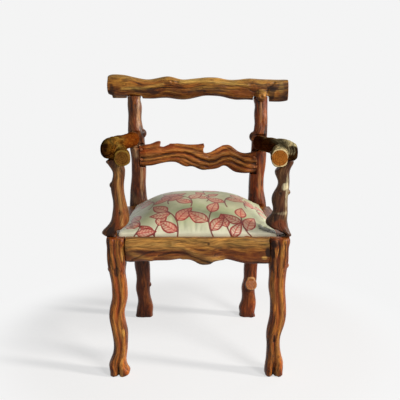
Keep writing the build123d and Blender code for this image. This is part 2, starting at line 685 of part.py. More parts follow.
def block_screws_at(side):
    """Head seat and direction of the screws of one side's corner blocks, two to a block."""
    z = seat_height - seat_drop - block_screw_drop
    across = side * (front_shoulder_x - 34.0)
    front_y = front_rail_back_y + block_screw_wood
    rear_y = rear_rail_front_y - block_screw_wood
    side_x = side * (side_rail_inner - block_screw_wood)
    return (
        ((across, front_y, z), (0, -1, 0)),
        ((side_x, front_rail_back_y + 46.0, z), (side, 0, 0)),
        ((side * (rear_shoulder_x - 42.0), rear_y, z), (0, 1, 0)),
        ((side_x, rear_rail_front_y - 46.0, z), (side, 0, 0)),
    )


block_screw_length = block_screw_wood + block_screw_bite


planing = 400.0  # half size of the boxes that plane a rail's flats


def rail_waste(side_limits, depth_limits):
    """The waste planed off a seat rail: above its top, off its inner face and the rebate."""
    add(seat_rebate.part)
    block((-planing, planing), (-planing, planing), (seat_height, seat_height + spare))
    block(side_limits, depth_limits, (0, seat_height))


def rail_bores(side, index):
    """The holes of the peg and of the block screw at one end of a seat rail."""
    peg_start, peg_direction, peg_length = seat_rail_pegs_at(side)[index]
    bore(peg_start, peg_direction, peg_length, peg_radius)
    screw_seat, screw_direction = block_screws_at(side)[index]
    bore(screw_seat, screw_direction, block_screw_length, screw_radius)


with BuildPart() as front_rail_waste:
    rail_waste((-planing, planing), (front_rail_back_y, front_rail_back_y + spare))
with BuildPart() as front_rail_holes:
    for name, side in SIDES:
        rail_bores(side, 0)
with BuildPart() as front_seat_rail:
    crosswise(FRONT_RAIL_STATIONS, front_shoulder_x, front_leg_y, rail_bottom, squareness=3.2)
    add(front_rail_waste.part, mode=Mode.SUBTRACT)
    for name, side in SIDES:
        tenon(front_rail_tenon(side))
    add(front_rail_holes.part, mode=Mode.SUBTRACT)
save(front_seat_rail, "front_seat_rail")

with BuildPart() as rear_rail_waste:
    rail_waste((-planing, planing), (rear_rail_front_y - spare, rear_rail_front_y))
with BuildPart() as rear_rail_holes:
    for name, side in SIDES:
        rail_bores(side, 2)
with BuildPart() as rear_seat_rail:
    crosswise(REAR_RAIL_STATIONS, rear_shoulder_x, post_y, rail_bottom, squareness=3.2)
    add(rear_rail_waste.part, mode=Mode.SUBTRACT)
    for name, side in SIDES:
        tenon(rear_rail_tenon(side))
    add(rear_rail_holes.part, mode=Mode.SUBTRACT)
save(rear_seat_rail, "rear_seat_rail")

for name, side in SIDES:
    with BuildPart() as side_rail_waste:
        rail_waste((0, side * side_rail_inner), (-planing, planing))
    with BuildPart() as side_rail_holes:
        rail_bores(side, 1)
        rail_bores(side, 3)
    stations = [(share, side * bend, rise, w, h) for share, bend, rise, w, h in SIDE_RAIL_STATIONS]
    with BuildPart() as side_seat_rail:
        lengthwise(
            stations, side * side_rail_x, side_rail_rear_y, side_rail_front_y, rail_bottom, 3.0
        )
        if side > 0:
            knot((side_rail_x + 18.0, side_rail_rear_y - 14.0, seat_height - 26.0), 13.0)
        add(side_rail_waste.part, mode=Mode.SUBTRACT)
        tenon(side_front_tenon(side))
        tenon(side_rear_tenon(side))
        add(side_rail_holes.part, mode=Mode.SUBTRACT)
    save(side_seat_rail, f"side_seat_rail_{name}")

with BuildPart() as seat_rail_pegs:
    for name, side in SIDES:
        for start, direction, length in seat_rail_pegs_at(side):
            rod(start, direction, length, peg_radius)
save(seat_rail_pegs, "seat_rail_pegs")

# ---------------------------------------------------------------- arm supports
# The numbers of the front legs, without furrows: share, bends, half sizes, squareness, furrow.

SUPPORT_STATIONS = {
    "left": (
        (0.000, -8.0, 6.0, 15.5, 20.0, 2.8, 0.0),
        (0.060, -6.0, 6.0, 17.0, 21.0, 2.6, 0.0),
        (0.130, 2.0, 7.0, 26.0, 22.0, 2.4, 0.0),
        (0.215, 13.5, 8.0, 25.0, 21.0, 2.4, 0.0),
        (0.310, 15.5, 9.0, 22.5, 20.0, 2.4, 0.0),
        (0.400, 14.0, 9.0, 19.0, 19.0, 2.4, 0.0),
        (0.510, 12.0, 10.0, 18.0, 18.5, 2.4, 0.0),
        (0.620, 9.0, 10.0, 18.5, 18.0, 2.4, 0.0),
        (0.710, 12.5, 11.0, 17.0, 18.0, 2.4, 0.0),
        (0.830, 10.5, 11.0, 18.5, 18.5, 2.4, 0.0),
        (1.000, 9.0, 12.0, 21.0, 19.0, 2.8, 0.0),
    ),
    "right": (
        (0.000, 7.5, 6.0, 18.0, 20.0, 2.8, 0.0),
        (0.060, 4.0, 6.0, 21.5, 21.5, 2.6, 0.0),
        (0.130, -3.0, 7.0, 27.0, 22.0, 2.4, 0.0),
        (0.240, -5.5, 8.0, 27.0, 21.5, 2.4, 0.0),
        (0.320, 0.5, 9.0, 21.0, 20.0, 2.4, 0.0),
        (0.390, 0.5, 9.0, 21.5, 19.5, 2.4, 0.0),
        (0.500, -1.0, 10.0, 23.0, 19.0, 2.4, 0.0),
        (0.570, 3.0, 10.0, 20.5, 18.5, 2.4, 0.0),
        (0.640, 7.0, 11.0, 18.0, 18.0, 2.4, 0.0),
        (0.800, 7.0, 11.0, 18.0, 18.0, 2.4, 0.0),
        (0.900, 8.0, 11.0, 20.5, 18.5, 2.4, 0.0),
        (1.000, 8.5, 12.0, 22.0, 19.0, 2.8, 0.0),
    ),
}
SUPPORT_KNOTS = {
    "left": ((0.06, -1, 17.0, 0.0, 8.0), (0.665, -1, 5.0, 6.0, 8.5)),
    "right": ((0.57, 1, 21.0, 6.0, 8.0),),
}
seat_clear_height = 20.0  # the inner side of a support is cut back this far up, off the seat

for name, side in SIDES:
    support_x = side * front_leg_x
    clear_x = side * (seat_front_half_width + rebate_gap + support_gap)
    with BuildPart() as support_cuts:
        clear_z = (seat_height, seat_height + seat_clear_height)
        block((0, clear_x), (front_leg_y - spare, 0), clear_z)
    with BuildPart() as head_peg_hole:
        start, direction, length = arm_pegs_at(name, side)[1]
        bore(start, direction, length, peg_radius)
    with BuildPart() as arm_support:
        upright(SUPPORT_STATIONS[name], support_x, lambda z: front_leg_y, seat_height, arm_rise)
        for share, way, out, forward, radius in SUPPORT_KNOTS[name]:
            centre = (support_x + way * out, front_leg_y + forward, seat_height + share * arm_rise)
            knot(centre, radius)
        add(support_cuts.part, mode=Mode.SUBTRACT)
        rod(support_foot(side), (0, 0, -1), round_tenon_length, round_tenon_radius)
        rod(support_head(name, side), (0, 0, 1), arm_tenon_length, round_tenon_radius)
        add(head_peg_hole.part, mode=Mode.SUBTRACT)
    save(arm_support, f"arm_support_{name}")

# ---------------------------------------------------------------- arms
# Length share from the post, sideways bend, height over the support's shoulder, half sizes.

ARM_STATIONS = {
    "left": (
        (0.000, 3.0, 9.0, 25.0, 24.0),
        (0.130, 0.0, 11.0, 24.0, 23.0),
        (0.320, -4.0, 16.0, 23.5, 23.0),
        (0.530, -7.0, 22.0, 24.0, 24.0),
        (0.720, -9.0, 25.0, 25.0, 25.0),
        (0.870, -10.0, 27.0, 26.0, 27.0),
        (0.950, -11.0, 25.5, 24.0, 26.5),
        (1.000, -12.0, 24.0, 17.0, 20.0),
    ),
    "right": (
        (0.000, -15.0, -2.0, 24.0, 25.0),
        (0.130, -11.0, 0.0, 23.5, 24.5),
        (0.320, -4.0, 6.0, 23.0, 24.0),
        (0.530, 5.0, 12.0, 24.0, 24.0),
        (0.720, 14.0, 19.0, 25.0, 25.0),
        (0.870, 19.0, 21.0, 25.0, 26.0),
        (0.950, 22.0, 19.0, 23.0, 27.0),
        (1.000, 25.0, 18.0, 16.0, 20.0),
    ),
}
# The sawn side branch at the front of an arm: setback from its face, then as above.
ARM_FIST_STATIONS = {
    "left": (
        (0.0, 5.0, 18.0, 19.0, 19.0),
        (0.45, 18.0, 11.0, 22.5, 23.0),
        (0.85, 26.0, 6.0, 22.5, 23.5),
        (1.0, 28.0, 5.0, 21.5, 22.5),
    ),
    "right": (
        (0.0, 10.0, 18.0, 19.0, 19.0),
        (0.45, -4.0, 11.0, 24.0, 24.5),
        (0.85, -8.0, 7.0, 24.0, 26.5),
        (1.0, -9.0, 6.0, 23.0, 26.0),
    ),
}
arm_lobe_setback = 13.0  # round front of the arm behind the sawn face beside it
arm_fist_length = 85.0
head_seat_half_x = 40.0
head_seat_half_y = 24.0


for name, side in SIDES:
    arm_line_x = side * front_leg_x
    head_x, head_y, head_z = support_head(name, side)
    end_x, end_z = ARM_END[name]
    with BuildPart() as arm_cuts:
        block(
            (head_x - head_seat_half_x, head_x + head_seat_half_x),
            (head_y - head_seat_half_y, head_y + head_seat_half_y),
            (arm_shoulder_z - spare, arm_shoulder_z),
        )
        bore((head_x, head_y, head_z), (0, 0, 1), arm_tenon_length, round_tenon_radius)
    with BuildPart() as arm_peg_holes:
        for start, direction, length in arm_pegs_at(name, side):
            bore(start, direction, length, peg_radius)
    with BuildPart() as arm:
        lengthwise(
            ARM_STATIONS[name], arm_line_x, arm_end_y, arm_face_y + arm_lobe_setback, arm_shoulder_z
        )
        lengthwise(
            ARM_FIST_STATIONS[name],
            arm_line_x,
            arm_face_y + arm_fist_length,
            arm_face_y,
            arm_shoulder_z,
        )
        add(arm_cuts.part, mode=Mode.SUBTRACT)
        rod((end_x, arm_end_y, end_z), (0, 1, 0), arm_tenon_length, round_tenon_radius)
        add(arm_peg_holes.part, mode=Mode.SUBTRACT)
    save(arm, f"arm_{name}")

with BuildPart() as arm_pegs:
    for name, side in SIDES:
        for start, direction, length in arm_pegs_at(name, side):
            rod(start, direction, length, peg_radius)
save(arm_pegs, "arm_pegs")

# ---------------------------------------------------------------- crest rail
# Half length share, bottom and top from the posts' shoulders, fore-and-aft bend, half depth,
# furrow along the front.

CREST_STATIONS = (
    (-1.000, 8.0, 68.0, 0.0, 20.0, 0.0),
    (-0.975, 4.0, 72.0, 0.0, 22.5, 0.0),
    (-0.920, 1.0, 73.0, 1.0, 23.5, 0.02),
    (-0.790, -1.0, 70.0, 0.0, 25.0, 0.05),
    (-0.685, -7.0, 64.0, -1.0, 24.0, 0.07),
    (-0.550, -9.0, 58.0, 0.0, 23.5, 0.09),
    (-0.450, -8.0, 62.0, 1.0, 23.5, 0.10),
    (-0.360, -6.0, 69.5, 0.0, 25.0, 0.10),
    (-0.245, -9.0, 63.0, 0.0, 24.0, 0.11),
    (-0.165, -11.0, 58.0, -1.0, 23.5, 0.12),
    (-0.065, -8.0, 60.5, -1.0, 23.0, 0.12),
    (0.040, 0.0, 63.5, 0.0, 23.5, 0.11),
    (0.100, 2.0, 65.0, 0.0, 24.0, 0.10),
    (0.220, 0.0, 63.0, 1.0, 24.0, 0.09),
    (0.320, -5.5, 57.0, 1.0, 23.0, 0.07),
    (0.420, -11.0, 57.0, 0.0, 23.5, 0.05),
    (0.560, -12.5, 62.0, 0.0, 24.5, 0.03),
    (0.710, -17.5, 59.0, 0.0, 25.0, 0.0),
    (0.810, -18.0, 58.0, 0.0, 25.0, 0.0),
    (0.920, -19.0, 56.0, 0.0, 24.0, 0.0),
    (1.000, -15.0, 55.0, 0.0, 23.0, 0.0),
)
crest_notch_half = post_top_half + 2.5
post_top_half_depth = 26.0
crest_notch_front_y = crest_y - crest_setback - post_top_half_depth - 2.0
crest_burl_radius = 25.0
crest_burl = (post_top_x["right"] - 1.0, crest_y - 15.0, post_shoulder_z + 1.0)
crest_stub_start = (-crest_length / 2 + 14.0, crest_y + 8.0, post_shoulder_z + 5.0)
crest_stub_length = 50.0
crest_stub_radius = 11.0

with BuildPart() as crest_cuts:
    for name, side in SIDES:
        top_x = post_top_x[name]
        block(
            (top_x - crest_notch_half, top_x + crest_notch_half),
            (crest_notch_front_y, crest_y + spare),
            (post_shoulder_z - spare, post_shoulder_z),
        )
        bore(crest_tenon_foot(name), (0, 0, 1), crest_tenon_length, crest_tenon_radius)
        start, direction, length = crest_peg_at(name)
        bore(start, direction, length, peg_radius)
with BuildPart() as crest_rail:
    crosswise(CREST_STATIONS, crest_length / 2, crest_y, post_shoulder_z, squareness=2.5)
    sawn_stub(crest_stub_start, (1, 0, 0), crest_stub_length, crest_stub_radius, crest_stub_radius + 1)
    knot(crest_burl, crest_burl_radius)
    add(crest_cuts.part, mode=Mode.SUBTRACT)
save(crest_rail, "crest_rail")

with BuildPart() as crest_pegs:
    for name, side in SIDES:
        start, direction, length = crest_peg_at(name)
        rod(start, direction, length, peg_radius)
save(crest_pegs, "crest_pegs")

# ---------------------------------------------------------------- back slat
# Place from the middle, bottom and top from the slat's middle, forward bow, half thickness.

half_slat = slat_thickness / 2
SLAT_STATIONS = (
    (-1.000, -38.0, 32.0, 0.0, half_slat),
    (-0.900, -39.5, 34.0, 0.0, half_slat + 0.5),
    (-0.790, -38.0, 39.0, 1.0, half_slat),
    (-0.680, -33.0, 47.0, 1.0, half_slat - 0.5),
    (-0.580, -29.0, 43.5, 0.0, half_slat - 1.0),
    (-0.470, -26.0, 39.0, -1.0, half_slat),
    (-0.350, -29.0, 39.5, -1.0, half_slat),
    (-0.220, -42.0, 36.5, 0.0, half_slat - 1.0),
    (-0.100, -41.0, 35.5, 1.0, half_slat),
    (0.030, -51.0, 37.5, 2.0, half_slat + 1.0),
    (0.110, -53.0, 39.5, 2.0, half_slat + 1.0),
    (0.240, -50.5, 38.0, 1.0, half_slat),
    (0.330, -48.5, 35.0, 0.0, half_slat),
    (0.420, -38.5, 34.0, -1.0, half_slat - 1.0),
    (0.500, -43.0, 35.0, -1.0, half_slat - 1.0),
    (0.570, -54.0, 30.0, 0.0, half_slat),
    (0.650, -61.0, 18.0, 0.0, half_slat),
    (0.730, -63.5, 8.0, 1.0, half_slat),
    (0.820, -64.0, 6.5, 1.0, half_slat + 0.5),
    (0.920, -61.0, 11.0, 0.0, half_slat),
    (1.000, -59.0, 13.0, 0.0, half_slat),
)
# Torn notches in the slat's upper edge: (place from the middle, height) round each one.
SLAT_TEARS = (
    ((-131, 60), (-128, 43), (-131, 28), (-118, 27), (-98, 36), (-92, 60)),
    ((20, 60), (21, 36), (23, 27), (19, 19), (20, 7), (28, 6), (42, 9), (62, 21), (84, 33), (96, 60)),
)


def slat_place(x, up, forward):
    """A point given along the slat, up its face and forward of its back."""
    return slat_back.from_local_coords((x, up, forward))


with BuildPart() as slat_tears:
    for tear in SLAT_TEARS:
        with BuildSketch(slat_back.offset(-20)) as tear_outline:
            with BuildLine():
                Polyline(*tear, close=True)
            make_face()
        extrude(tear_outline.sketch, amount=80)
with BuildPart() as slat_cuts:
    with Locations(slat_back.location):
        block((-planing, planing), (-planing, planing), (-60, 0))
    for name, side in SIDES:
        for start, direction, length in slat_pegs_at(name, side):
            bore(start, direction, length, peg_radius)
with BuildPart() as back_slat:
    sections = []
    for share, low, high, bow, half_depth in evenly(SLAT_STATIONS, 2 * slat_end_x, slat_pitch):
        centre = slat_place(share * slat_end_x, (low + high) / 2, half_slat + bow - 1.0)
        plane = Plane(origin=centre, x_dir=-slat_back.z_dir, z_dir=(1, 0, 0))
        sections.append(ring(plane, half_depth, (high - low) / 2, 3.0))
    loft(sections=sections)
    add(slat_tears.part, mode=Mode.SUBTRACT)
    add(slat_cuts.part, mode=Mode.SUBTRACT)
save(back_slat, "back_slat")

with BuildPart() as slat_pegs:
    for name, side in SIDES:
        for start, direction, length in slat_pegs_at(name, side):
            rod(start, direction, length, peg_radius)
save(slat_pegs, "slat_pegs")

# ---------------------------------------------------------------- corner blocks and screws

front_seat_screw_x = front_shoulder_x - seat_screw_inset
front_seat_screw_y = front_rail_back_y + 25.0
rear_seat_screw_x = rear_shoulder_x - seat_screw_inset
rear_seat_screw_y = rear_rail_front_y - 7.0
block_top = rebate_z
block_bottom = rebate_z - block_height


def seat_screws_at(side):
    """Where the screws up through one side's corner blocks into the seat frame start."""
    z = block_bottom + seat_screw_recess
    return (
        (side * front_seat_screw_x, front_seat_screw_y, z),
        (side * rear_seat_screw_x, rear_seat_screw_y, z),
    )


bar_bottom = rebate_z + lining_thickness + cover_thickness
seat_screw_length = bar_bottom - (block_bottom + seat_screw_recess) + seat_screw_bite


def screw(seat, direction, length):
    """A screw whose head stands on the seat of its recess, opposite to the way it goes in."""
    back = tuple(-value for value in direction)
    rod(seat, direction, length, screw_radius)
    rod(seat, back, screw_head_height, screw_head_radius)


with BuildPart() as corner_blocks:
    for name, side in SIDES:
        front_block = [
            (side * front_shoulder_x, front_rail_back_y),
            (side * (front_shoulder_x - block_reach_x), front_rail_back_y),
            (side * side_rail_inner, front_rail_back_y + block_reach_y),
            (side * side_rail_inner, side_rail_front_y),
            (side * front_shoulder_x, side_rail_front_y),
        ]
        rear_block = [
            (side * rear_shoulder_x, rear_rail_front_y),
            (side * (rear_shoulder_x - block_reach_x), rear_rail_front_y),
            (side * side_rail_inner, rear_rail_front_y - block_reach_y),
            (side * side_rail_inner, side_rail_rear_y),
            (side * rear_shoulder_x, side_rail_rear_y),
        ]
        slab(front_block, block_bottom, block_top)
        slab(rear_block, block_bottom, block_top)
        for seat, direction in block_screws_at(side):
            back = tuple(-value for value in direction)
            rod(seat, direction, block_screw_wood + 1, screw_radius + fit, mode=Mode.SUBTRACT)
            rod(seat, back, block_reach_y, screw_bore, mode=Mode.SUBTRACT)
        for seat in seat_screws_at(side):
            rod(seat, (0, 0, 1), block_height, screw_radius + fit, mode=Mode.SUBTRACT)
            rod(seat, (0, 0, -1), block_height, screw_bore, mode=Mode.SUBTRACT)
save(corner_blocks, "corner_blocks")

with BuildPart() as corner_block_screws:
    for name, side in SIDES:
        for seat, direction in block_screws_at(side):
            screw(seat, direction, block_screw_length)
save(corner_block_screws, "corner_block_screws")

with BuildPart() as seat_screws:
    for name, side in SIDES:
        for seat in seat_screws_at(side):
            screw(seat, (0, 0, 1), seat_screw_length)
save(seat_screws, "seat_screws")

# ---------------------------------------------------------------- seat frame

frame_inset = cover_thickness + soft_gap
bar_top = bar_bottom + bar_thickness
frame_front_y = seat_front_y + frame_inset
frame_rear_y = seat_rear_y - frame_inset
front_bar_back_y = frame_front_y + bar_width
rear_bar_front_y = frame_rear_y - bar_width
side_bar_inner = seat_notch_x - side_bar_width
web_bottom = bar_top
hessian_bottom = bar_top + 2 * web_thickness + soft_gap
stuffing_bottom = hessian_bottom + hessian_thickness + soft_gap

with BuildPart() as screw_holes:
    for name, side in SIDES:
        for seat in seat_screws_at(side):
            bore(seat, (0, 0, 1), seat_screw_length, screw_radius)


def bar_tenon(side, y, way, gap=0.0):
    """A side bar's tenon into the front or rear bar, or with a gap its mortise."""
    centre_x = side * (side_bar_inner + side_bar_width / 2)
    half_x = bar_tenon_width / 2 + gap
    middle = bar_bottom + bar_thickness / 2
    half_z = bar_tenon_thickness / 2 + gap
    block(
        (centre_x - half_x, centre_x + half_x),
        (y - way, y + way * (bar_tenon_length + gap)),
        (middle - half_z, middle + half_z),
    )


WEBS_LENGTHWISE = [
    (2 * index + 1 - web_count) / web_count * side_bar_inner for index in range(web_count)
]
web_front_y = frame_front_y + web_edge
web_rear_y = frame_rear_y - web_edge
web_middle_y = (front_bar_back_y + rear_bar_front_y) / 2
web_half_spread = web_spread * (web_rear_y - web_front_y) / 2
WEBS_CROSSWISE = [
    web_middle_y + (2 * index + 1 - web_count) / web_count * web_half_spread
    for index in range(web_count)
]
web_cross_half = seat_rear_half_width - frame_inset - web_edge


def tacks_at():
    """Top of the web under every tack head: three across each end of each web."""
    spread = [
        (2 * index + 1 - tacks_across_web) / tacks_across_web * web_width / 2
        for index in range(tacks_across_web)
    ]
    places = []
    for x in WEBS_LENGTHWISE:
        for y in (web_front_y + tack_margin, web_rear_y - tack_margin):
            places += [(x + shift, y) for shift in spread]
    for y in WEBS_CROSSWISE:
        for x in (-web_cross_half + tack_margin, web_cross_half - tack_margin):
            places += [(x, y + shift) for shift in spread]
    return [(x, y, web_bottom + web_thickness) for x, y in places]


with BuildPart() as tack_holes:
    for x, y, z in tacks_at():
        rod((x, y, z + 0.5), (0, 0, -1), tack_length + 0.5 + bottoming, tack_radius + fit)

BAR_LIMITS = {
    "front": ((-planing, planing), (frame_front_y, front_bar_back_y)),
    "rear": ((-planing, planing), (rear_bar_front_y, frame_rear_y)),
    "left": ((-planing, -side_bar_inner), (front_bar_back_y, rear_bar_front_y)),
    "right": ((side_bar_inner, planing), (front_bar_back_y, rear_bar_front_y)),
}
with BuildPart() as bar_mortises:
    for name, side in SIDES:
        bar_tenon(side, front_bar_back_y, -1, fit)
        bar_tenon(side, rear_bar_front_y, 1, fit)
for name, (x_limits, y_limits) in BAR_LIMITS.items():
    with BuildPart() as bar_room:
        block(x_limits, y_limits, (bar_bottom, bar_top))
    with BuildPart() as seat_frame_bar:
        slab(seat_outline(frame_inset), bar_bottom, bar_top)
        add(bar_room.part, mode=Mode.INTERSECT)
        if name in ("left", "right"):
            side = dict(SIDES)[name]
            bar_tenon(side, front_bar_back_y, -1)
            bar_tenon(side, rear_bar_front_y, 1)
        else:
            add(bar_mortises.part, mode=Mode.SUBTRACT)
            add(screw_holes.part, mode=Mode.SUBTRACT)
        add(tack_holes.part, mode=Mode.SUBTRACT)
    save(seat_frame_bar, f"seat_frame_{name}")

# ---------------------------------------------------------------- webbing, tacks and hessian


def strap(profile, plane, width):
    """A web: its edge drawn on the plane and given its width both ways."""
    with BuildSketch(plane) as edge:
        with BuildLine():
            Polyline(*profile, close=True)
        make_face()
    extrude(edge.sketch, amount=width / 2, both=True)


def woven_profile(first_over):
    """Edge of a web that goes over and under the lengthwise webs in turn."""
    low = [(-web_cross_half, web_bottom)]
    for index, x in enumerate(WEBS_LENGTHWISE):
        over = (index % 2 == 0) == first_over
        level = web_bottom + (web_thickness if over else -web_thickness)
        ramp = web_width / 2 + web_ramp
        flat = web_width / 2 + web_flat
        low += [(x - ramp, web_bottom), (x - flat, level), (x + flat, level), (x + ramp, web_bottom)]
    low.append((web_cross_half, web_bottom))
    return low + [(x, z + web_thickness) for x, z in reversed(low)]


with BuildPart() as webbing_lengthwise:
    for x in WEBS_LENGTHWISE:
        low, high = web_bottom, web_bottom + web_thickness
        edge = [(web_front_y, low), (web_rear_y, low), (web_rear_y, high), (web_front_y, high)]
        strap(edge, Plane.YZ.offset(x), web_width)
    add(tack_holes.part, mode=Mode.SUBTRACT)
save(webbing_lengthwise, "webbing_lengthwise")

with BuildPart() as webbing_crosswise:
    for index, y in enumerate(WEBS_CROSSWISE):
        strap(woven_profile(index % 2 == 0), Plane.XZ.offset(-y), web_width)
    add(tack_holes.part, mode=Mode.SUBTRACT)
save(webbing_crosswise, "webbing_crosswise")

with BuildPart() as upholstery_tacks:
    for seat in tacks_at():
        rod(seat, (0, 0, -1), tack_length, tack_radius)
        rod(seat, (0, 0, 1), tack_head_height, tack_head_radius)
save(upholstery_tacks, "upholstery_tacks")

with BuildPart() as hessian:
    slab(seat_outline(frame_inset + hessian_margin), hessian_bottom, hessian_bottom + hessian_thickness)
save(hessian, "hessian")

with BuildPart() as dust_cover:
    slab(seat_outline(lining_inset), rebate_z, rebate_z + lining_thickness)
    add(screw_holes.part, mode=Mode.SUBTRACT)
save(dust_cover, "dust_cover")

# ---------------------------------------------------------------- stuffing and cover

dome_steps = [sin(radians(angle)) for angle in range(-90, 91, 15)]


def dome(inset, low):
    """The seat's domed form, that far inside its outer surface, from a height up."""
    sections = []
    middle_y = (seat_front_y + seat_rear_y) / 2
    half_length = (seat_rear_y - seat_front_y) / 2
    for place in dome_steps:
        y = middle_y + place * (half_length - inset)
        half_width = seat_width_at(y) - inset
        swell = (1 - abs(place) ** seat_front_fullness) ** seat_front_fall
        ridge = (seat_crown - seat_side_height) * swell
        top = []
        for across in reversed(dome_steps):
            rise = ridge * (1 - abs(across) ** seat_side_fullness) ** seat_side_fall
            top.append((half_width * across, seat_height + seat_side_height + rise - inset))
        with BuildSketch(Plane.XZ.offset(-y)) as section:
            with BuildLine():
                Line((-half_width, low), (half_width, low))
                Line((half_width, low), top[0])
                Spline(*top)
                Line(top[-1], (-half_width, low))
            make_face()
        sections.append(section.sketch)
    loft(sections=sections)


def notch_rear_corners(inset, low):
    """The room left for the posts at the rear corners of a domed layer."""
    for name, side in SIDES:
        block(
            (side * (seat_notch_x - inset), side * planing),
            (seat_notch_y - inset, seat_rear_y + spare),
            (low - 1, seat_height + seat_crown + spare),
        )


with BuildPart() as stuffing_notches:
    notch_rear_corners(frame_inset, stuffing_bottom)
with BuildPart() as stuffing_room:
    slab(seat_outline(frame_inset + stuffing_margin), stuffing_bottom, seat_height + 2 * seat_crown)
with BuildPart() as seat_stuffing:
    dome(frame_inset, rebate_z + lining_thickness + cover_thickness)
    add(stuffing_notches.part, mode=Mode.SUBTRACT)
    add(stuffing_room.part, mode=Mode.INTERSECT)
save(seat_stuffing, "seat_stuffing")

hem_bottom = rebate_z + lining_thickness
with BuildPart() as cover_hollow:
    dome(cover_thickness, hem_bottom + cover_thickness)
with BuildPart() as hollow_notches:
    notch_rear_corners(cover_thickness, hem_bottom)
with BuildPart() as cover_inside:
    add(cover_hollow.part)
    add(hollow_notches.part, mode=Mode.SUBTRACT)
    slab(seat_outline(cover_hem), hem_bottom - 1, hem_bottom + cover_thickness + 1)
    add(screw_holes.part)
with BuildPart() as cover_notches:
    notch_rear_corners(0.0, hem_bottom)
with BuildPart() as seat_cover:
    dome(0.0, hem_bottom)
    add(cover_notches.part, mode=Mode.SUBTRACT)
    add(cover_inside.part, mode=Mode.SUBTRACT)
save(seat_cover, "seat_cover")
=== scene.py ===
from itertools import product
from math import pi, radians

import bmesh
import bpy
import numpy as np
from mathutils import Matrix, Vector


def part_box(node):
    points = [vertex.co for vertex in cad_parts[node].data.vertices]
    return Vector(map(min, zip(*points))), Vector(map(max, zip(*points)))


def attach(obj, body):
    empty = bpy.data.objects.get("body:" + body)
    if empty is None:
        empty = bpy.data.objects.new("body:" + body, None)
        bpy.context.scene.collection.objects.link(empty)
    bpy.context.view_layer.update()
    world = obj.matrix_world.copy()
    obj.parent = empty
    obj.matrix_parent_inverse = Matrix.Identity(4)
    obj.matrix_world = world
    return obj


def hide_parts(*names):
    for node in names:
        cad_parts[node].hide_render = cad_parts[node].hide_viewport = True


# A rustic armchair of roots and branches with a satin slip seat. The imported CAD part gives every
# place; here each branch gets its grain, knots and cracks, and the seat its fabric. Blender's
# lengths are metres; the carving below works in millimetres, because its features are that size.

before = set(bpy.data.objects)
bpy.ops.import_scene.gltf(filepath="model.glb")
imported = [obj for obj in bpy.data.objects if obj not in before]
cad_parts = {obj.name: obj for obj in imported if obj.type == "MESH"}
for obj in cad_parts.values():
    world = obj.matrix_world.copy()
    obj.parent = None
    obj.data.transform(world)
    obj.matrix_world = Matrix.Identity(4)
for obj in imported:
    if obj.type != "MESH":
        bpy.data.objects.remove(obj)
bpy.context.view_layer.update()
MM = 0.001

# ---------------- objects and node materials


def placed(name, data):
    """A new object of the data, in the scene."""
    thing = bpy.data.objects.new(name, data)
    bpy.context.scene.collection.objects.link(thing)
    return thing


def rgb(code):
    """A colour written as on a paint card, as the linear values that shaders use."""
    parts = [int(code[index : index + 2], 16) / 255 for index in (0, 2, 4)]
    linear = [p / 12.92 if p <= 0.04045 else ((p + 0.055) / 1.055) ** 2.4 for p in parts]
    return (*linear, 1.0)


class Nodes:
    """Fills a node tree, a node at a time."""

    def __init__(self, tree):
        self.tree = tree
        tree.nodes.clear()

    def add(self, kind, inputs=None, **settings):
        node = self.tree.nodes.new(kind)
        for key, value in settings.items():
            setattr(node, key, value)
        for key, value in (inputs or {}).items():
            self.feed(node.inputs[key], value)
        return node

    def feed(self, socket, value):
        """Links a socket to another, or sets its value, where a text is a colour's code."""
        if isinstance(value, bpy.types.NodeSocket):
            self.tree.links.new(value, socket)
        else:
            socket.default_value = rgb(value) if isinstance(value, str) else value

    def math(self, operation, a, b=0.5, clamp=False):
        node = self.add("ShaderNodeMath", {0: a, 1: b}, operation=operation, use_clamp=clamp)
        return node.outputs[0]

    def seen(self):
        """1 for what the camera sees, by itself or mirrored in gloss; 0 for what lights others."""
        rays = self.add("ShaderNodeLightPath").outputs
        mirrored = self.math("MAXIMUM", rays["Is Glossy Ray"], rays["Is Transmission Ray"])
        return self.math("MAXIMUM", rays["Is Camera Ray"], mirrored)


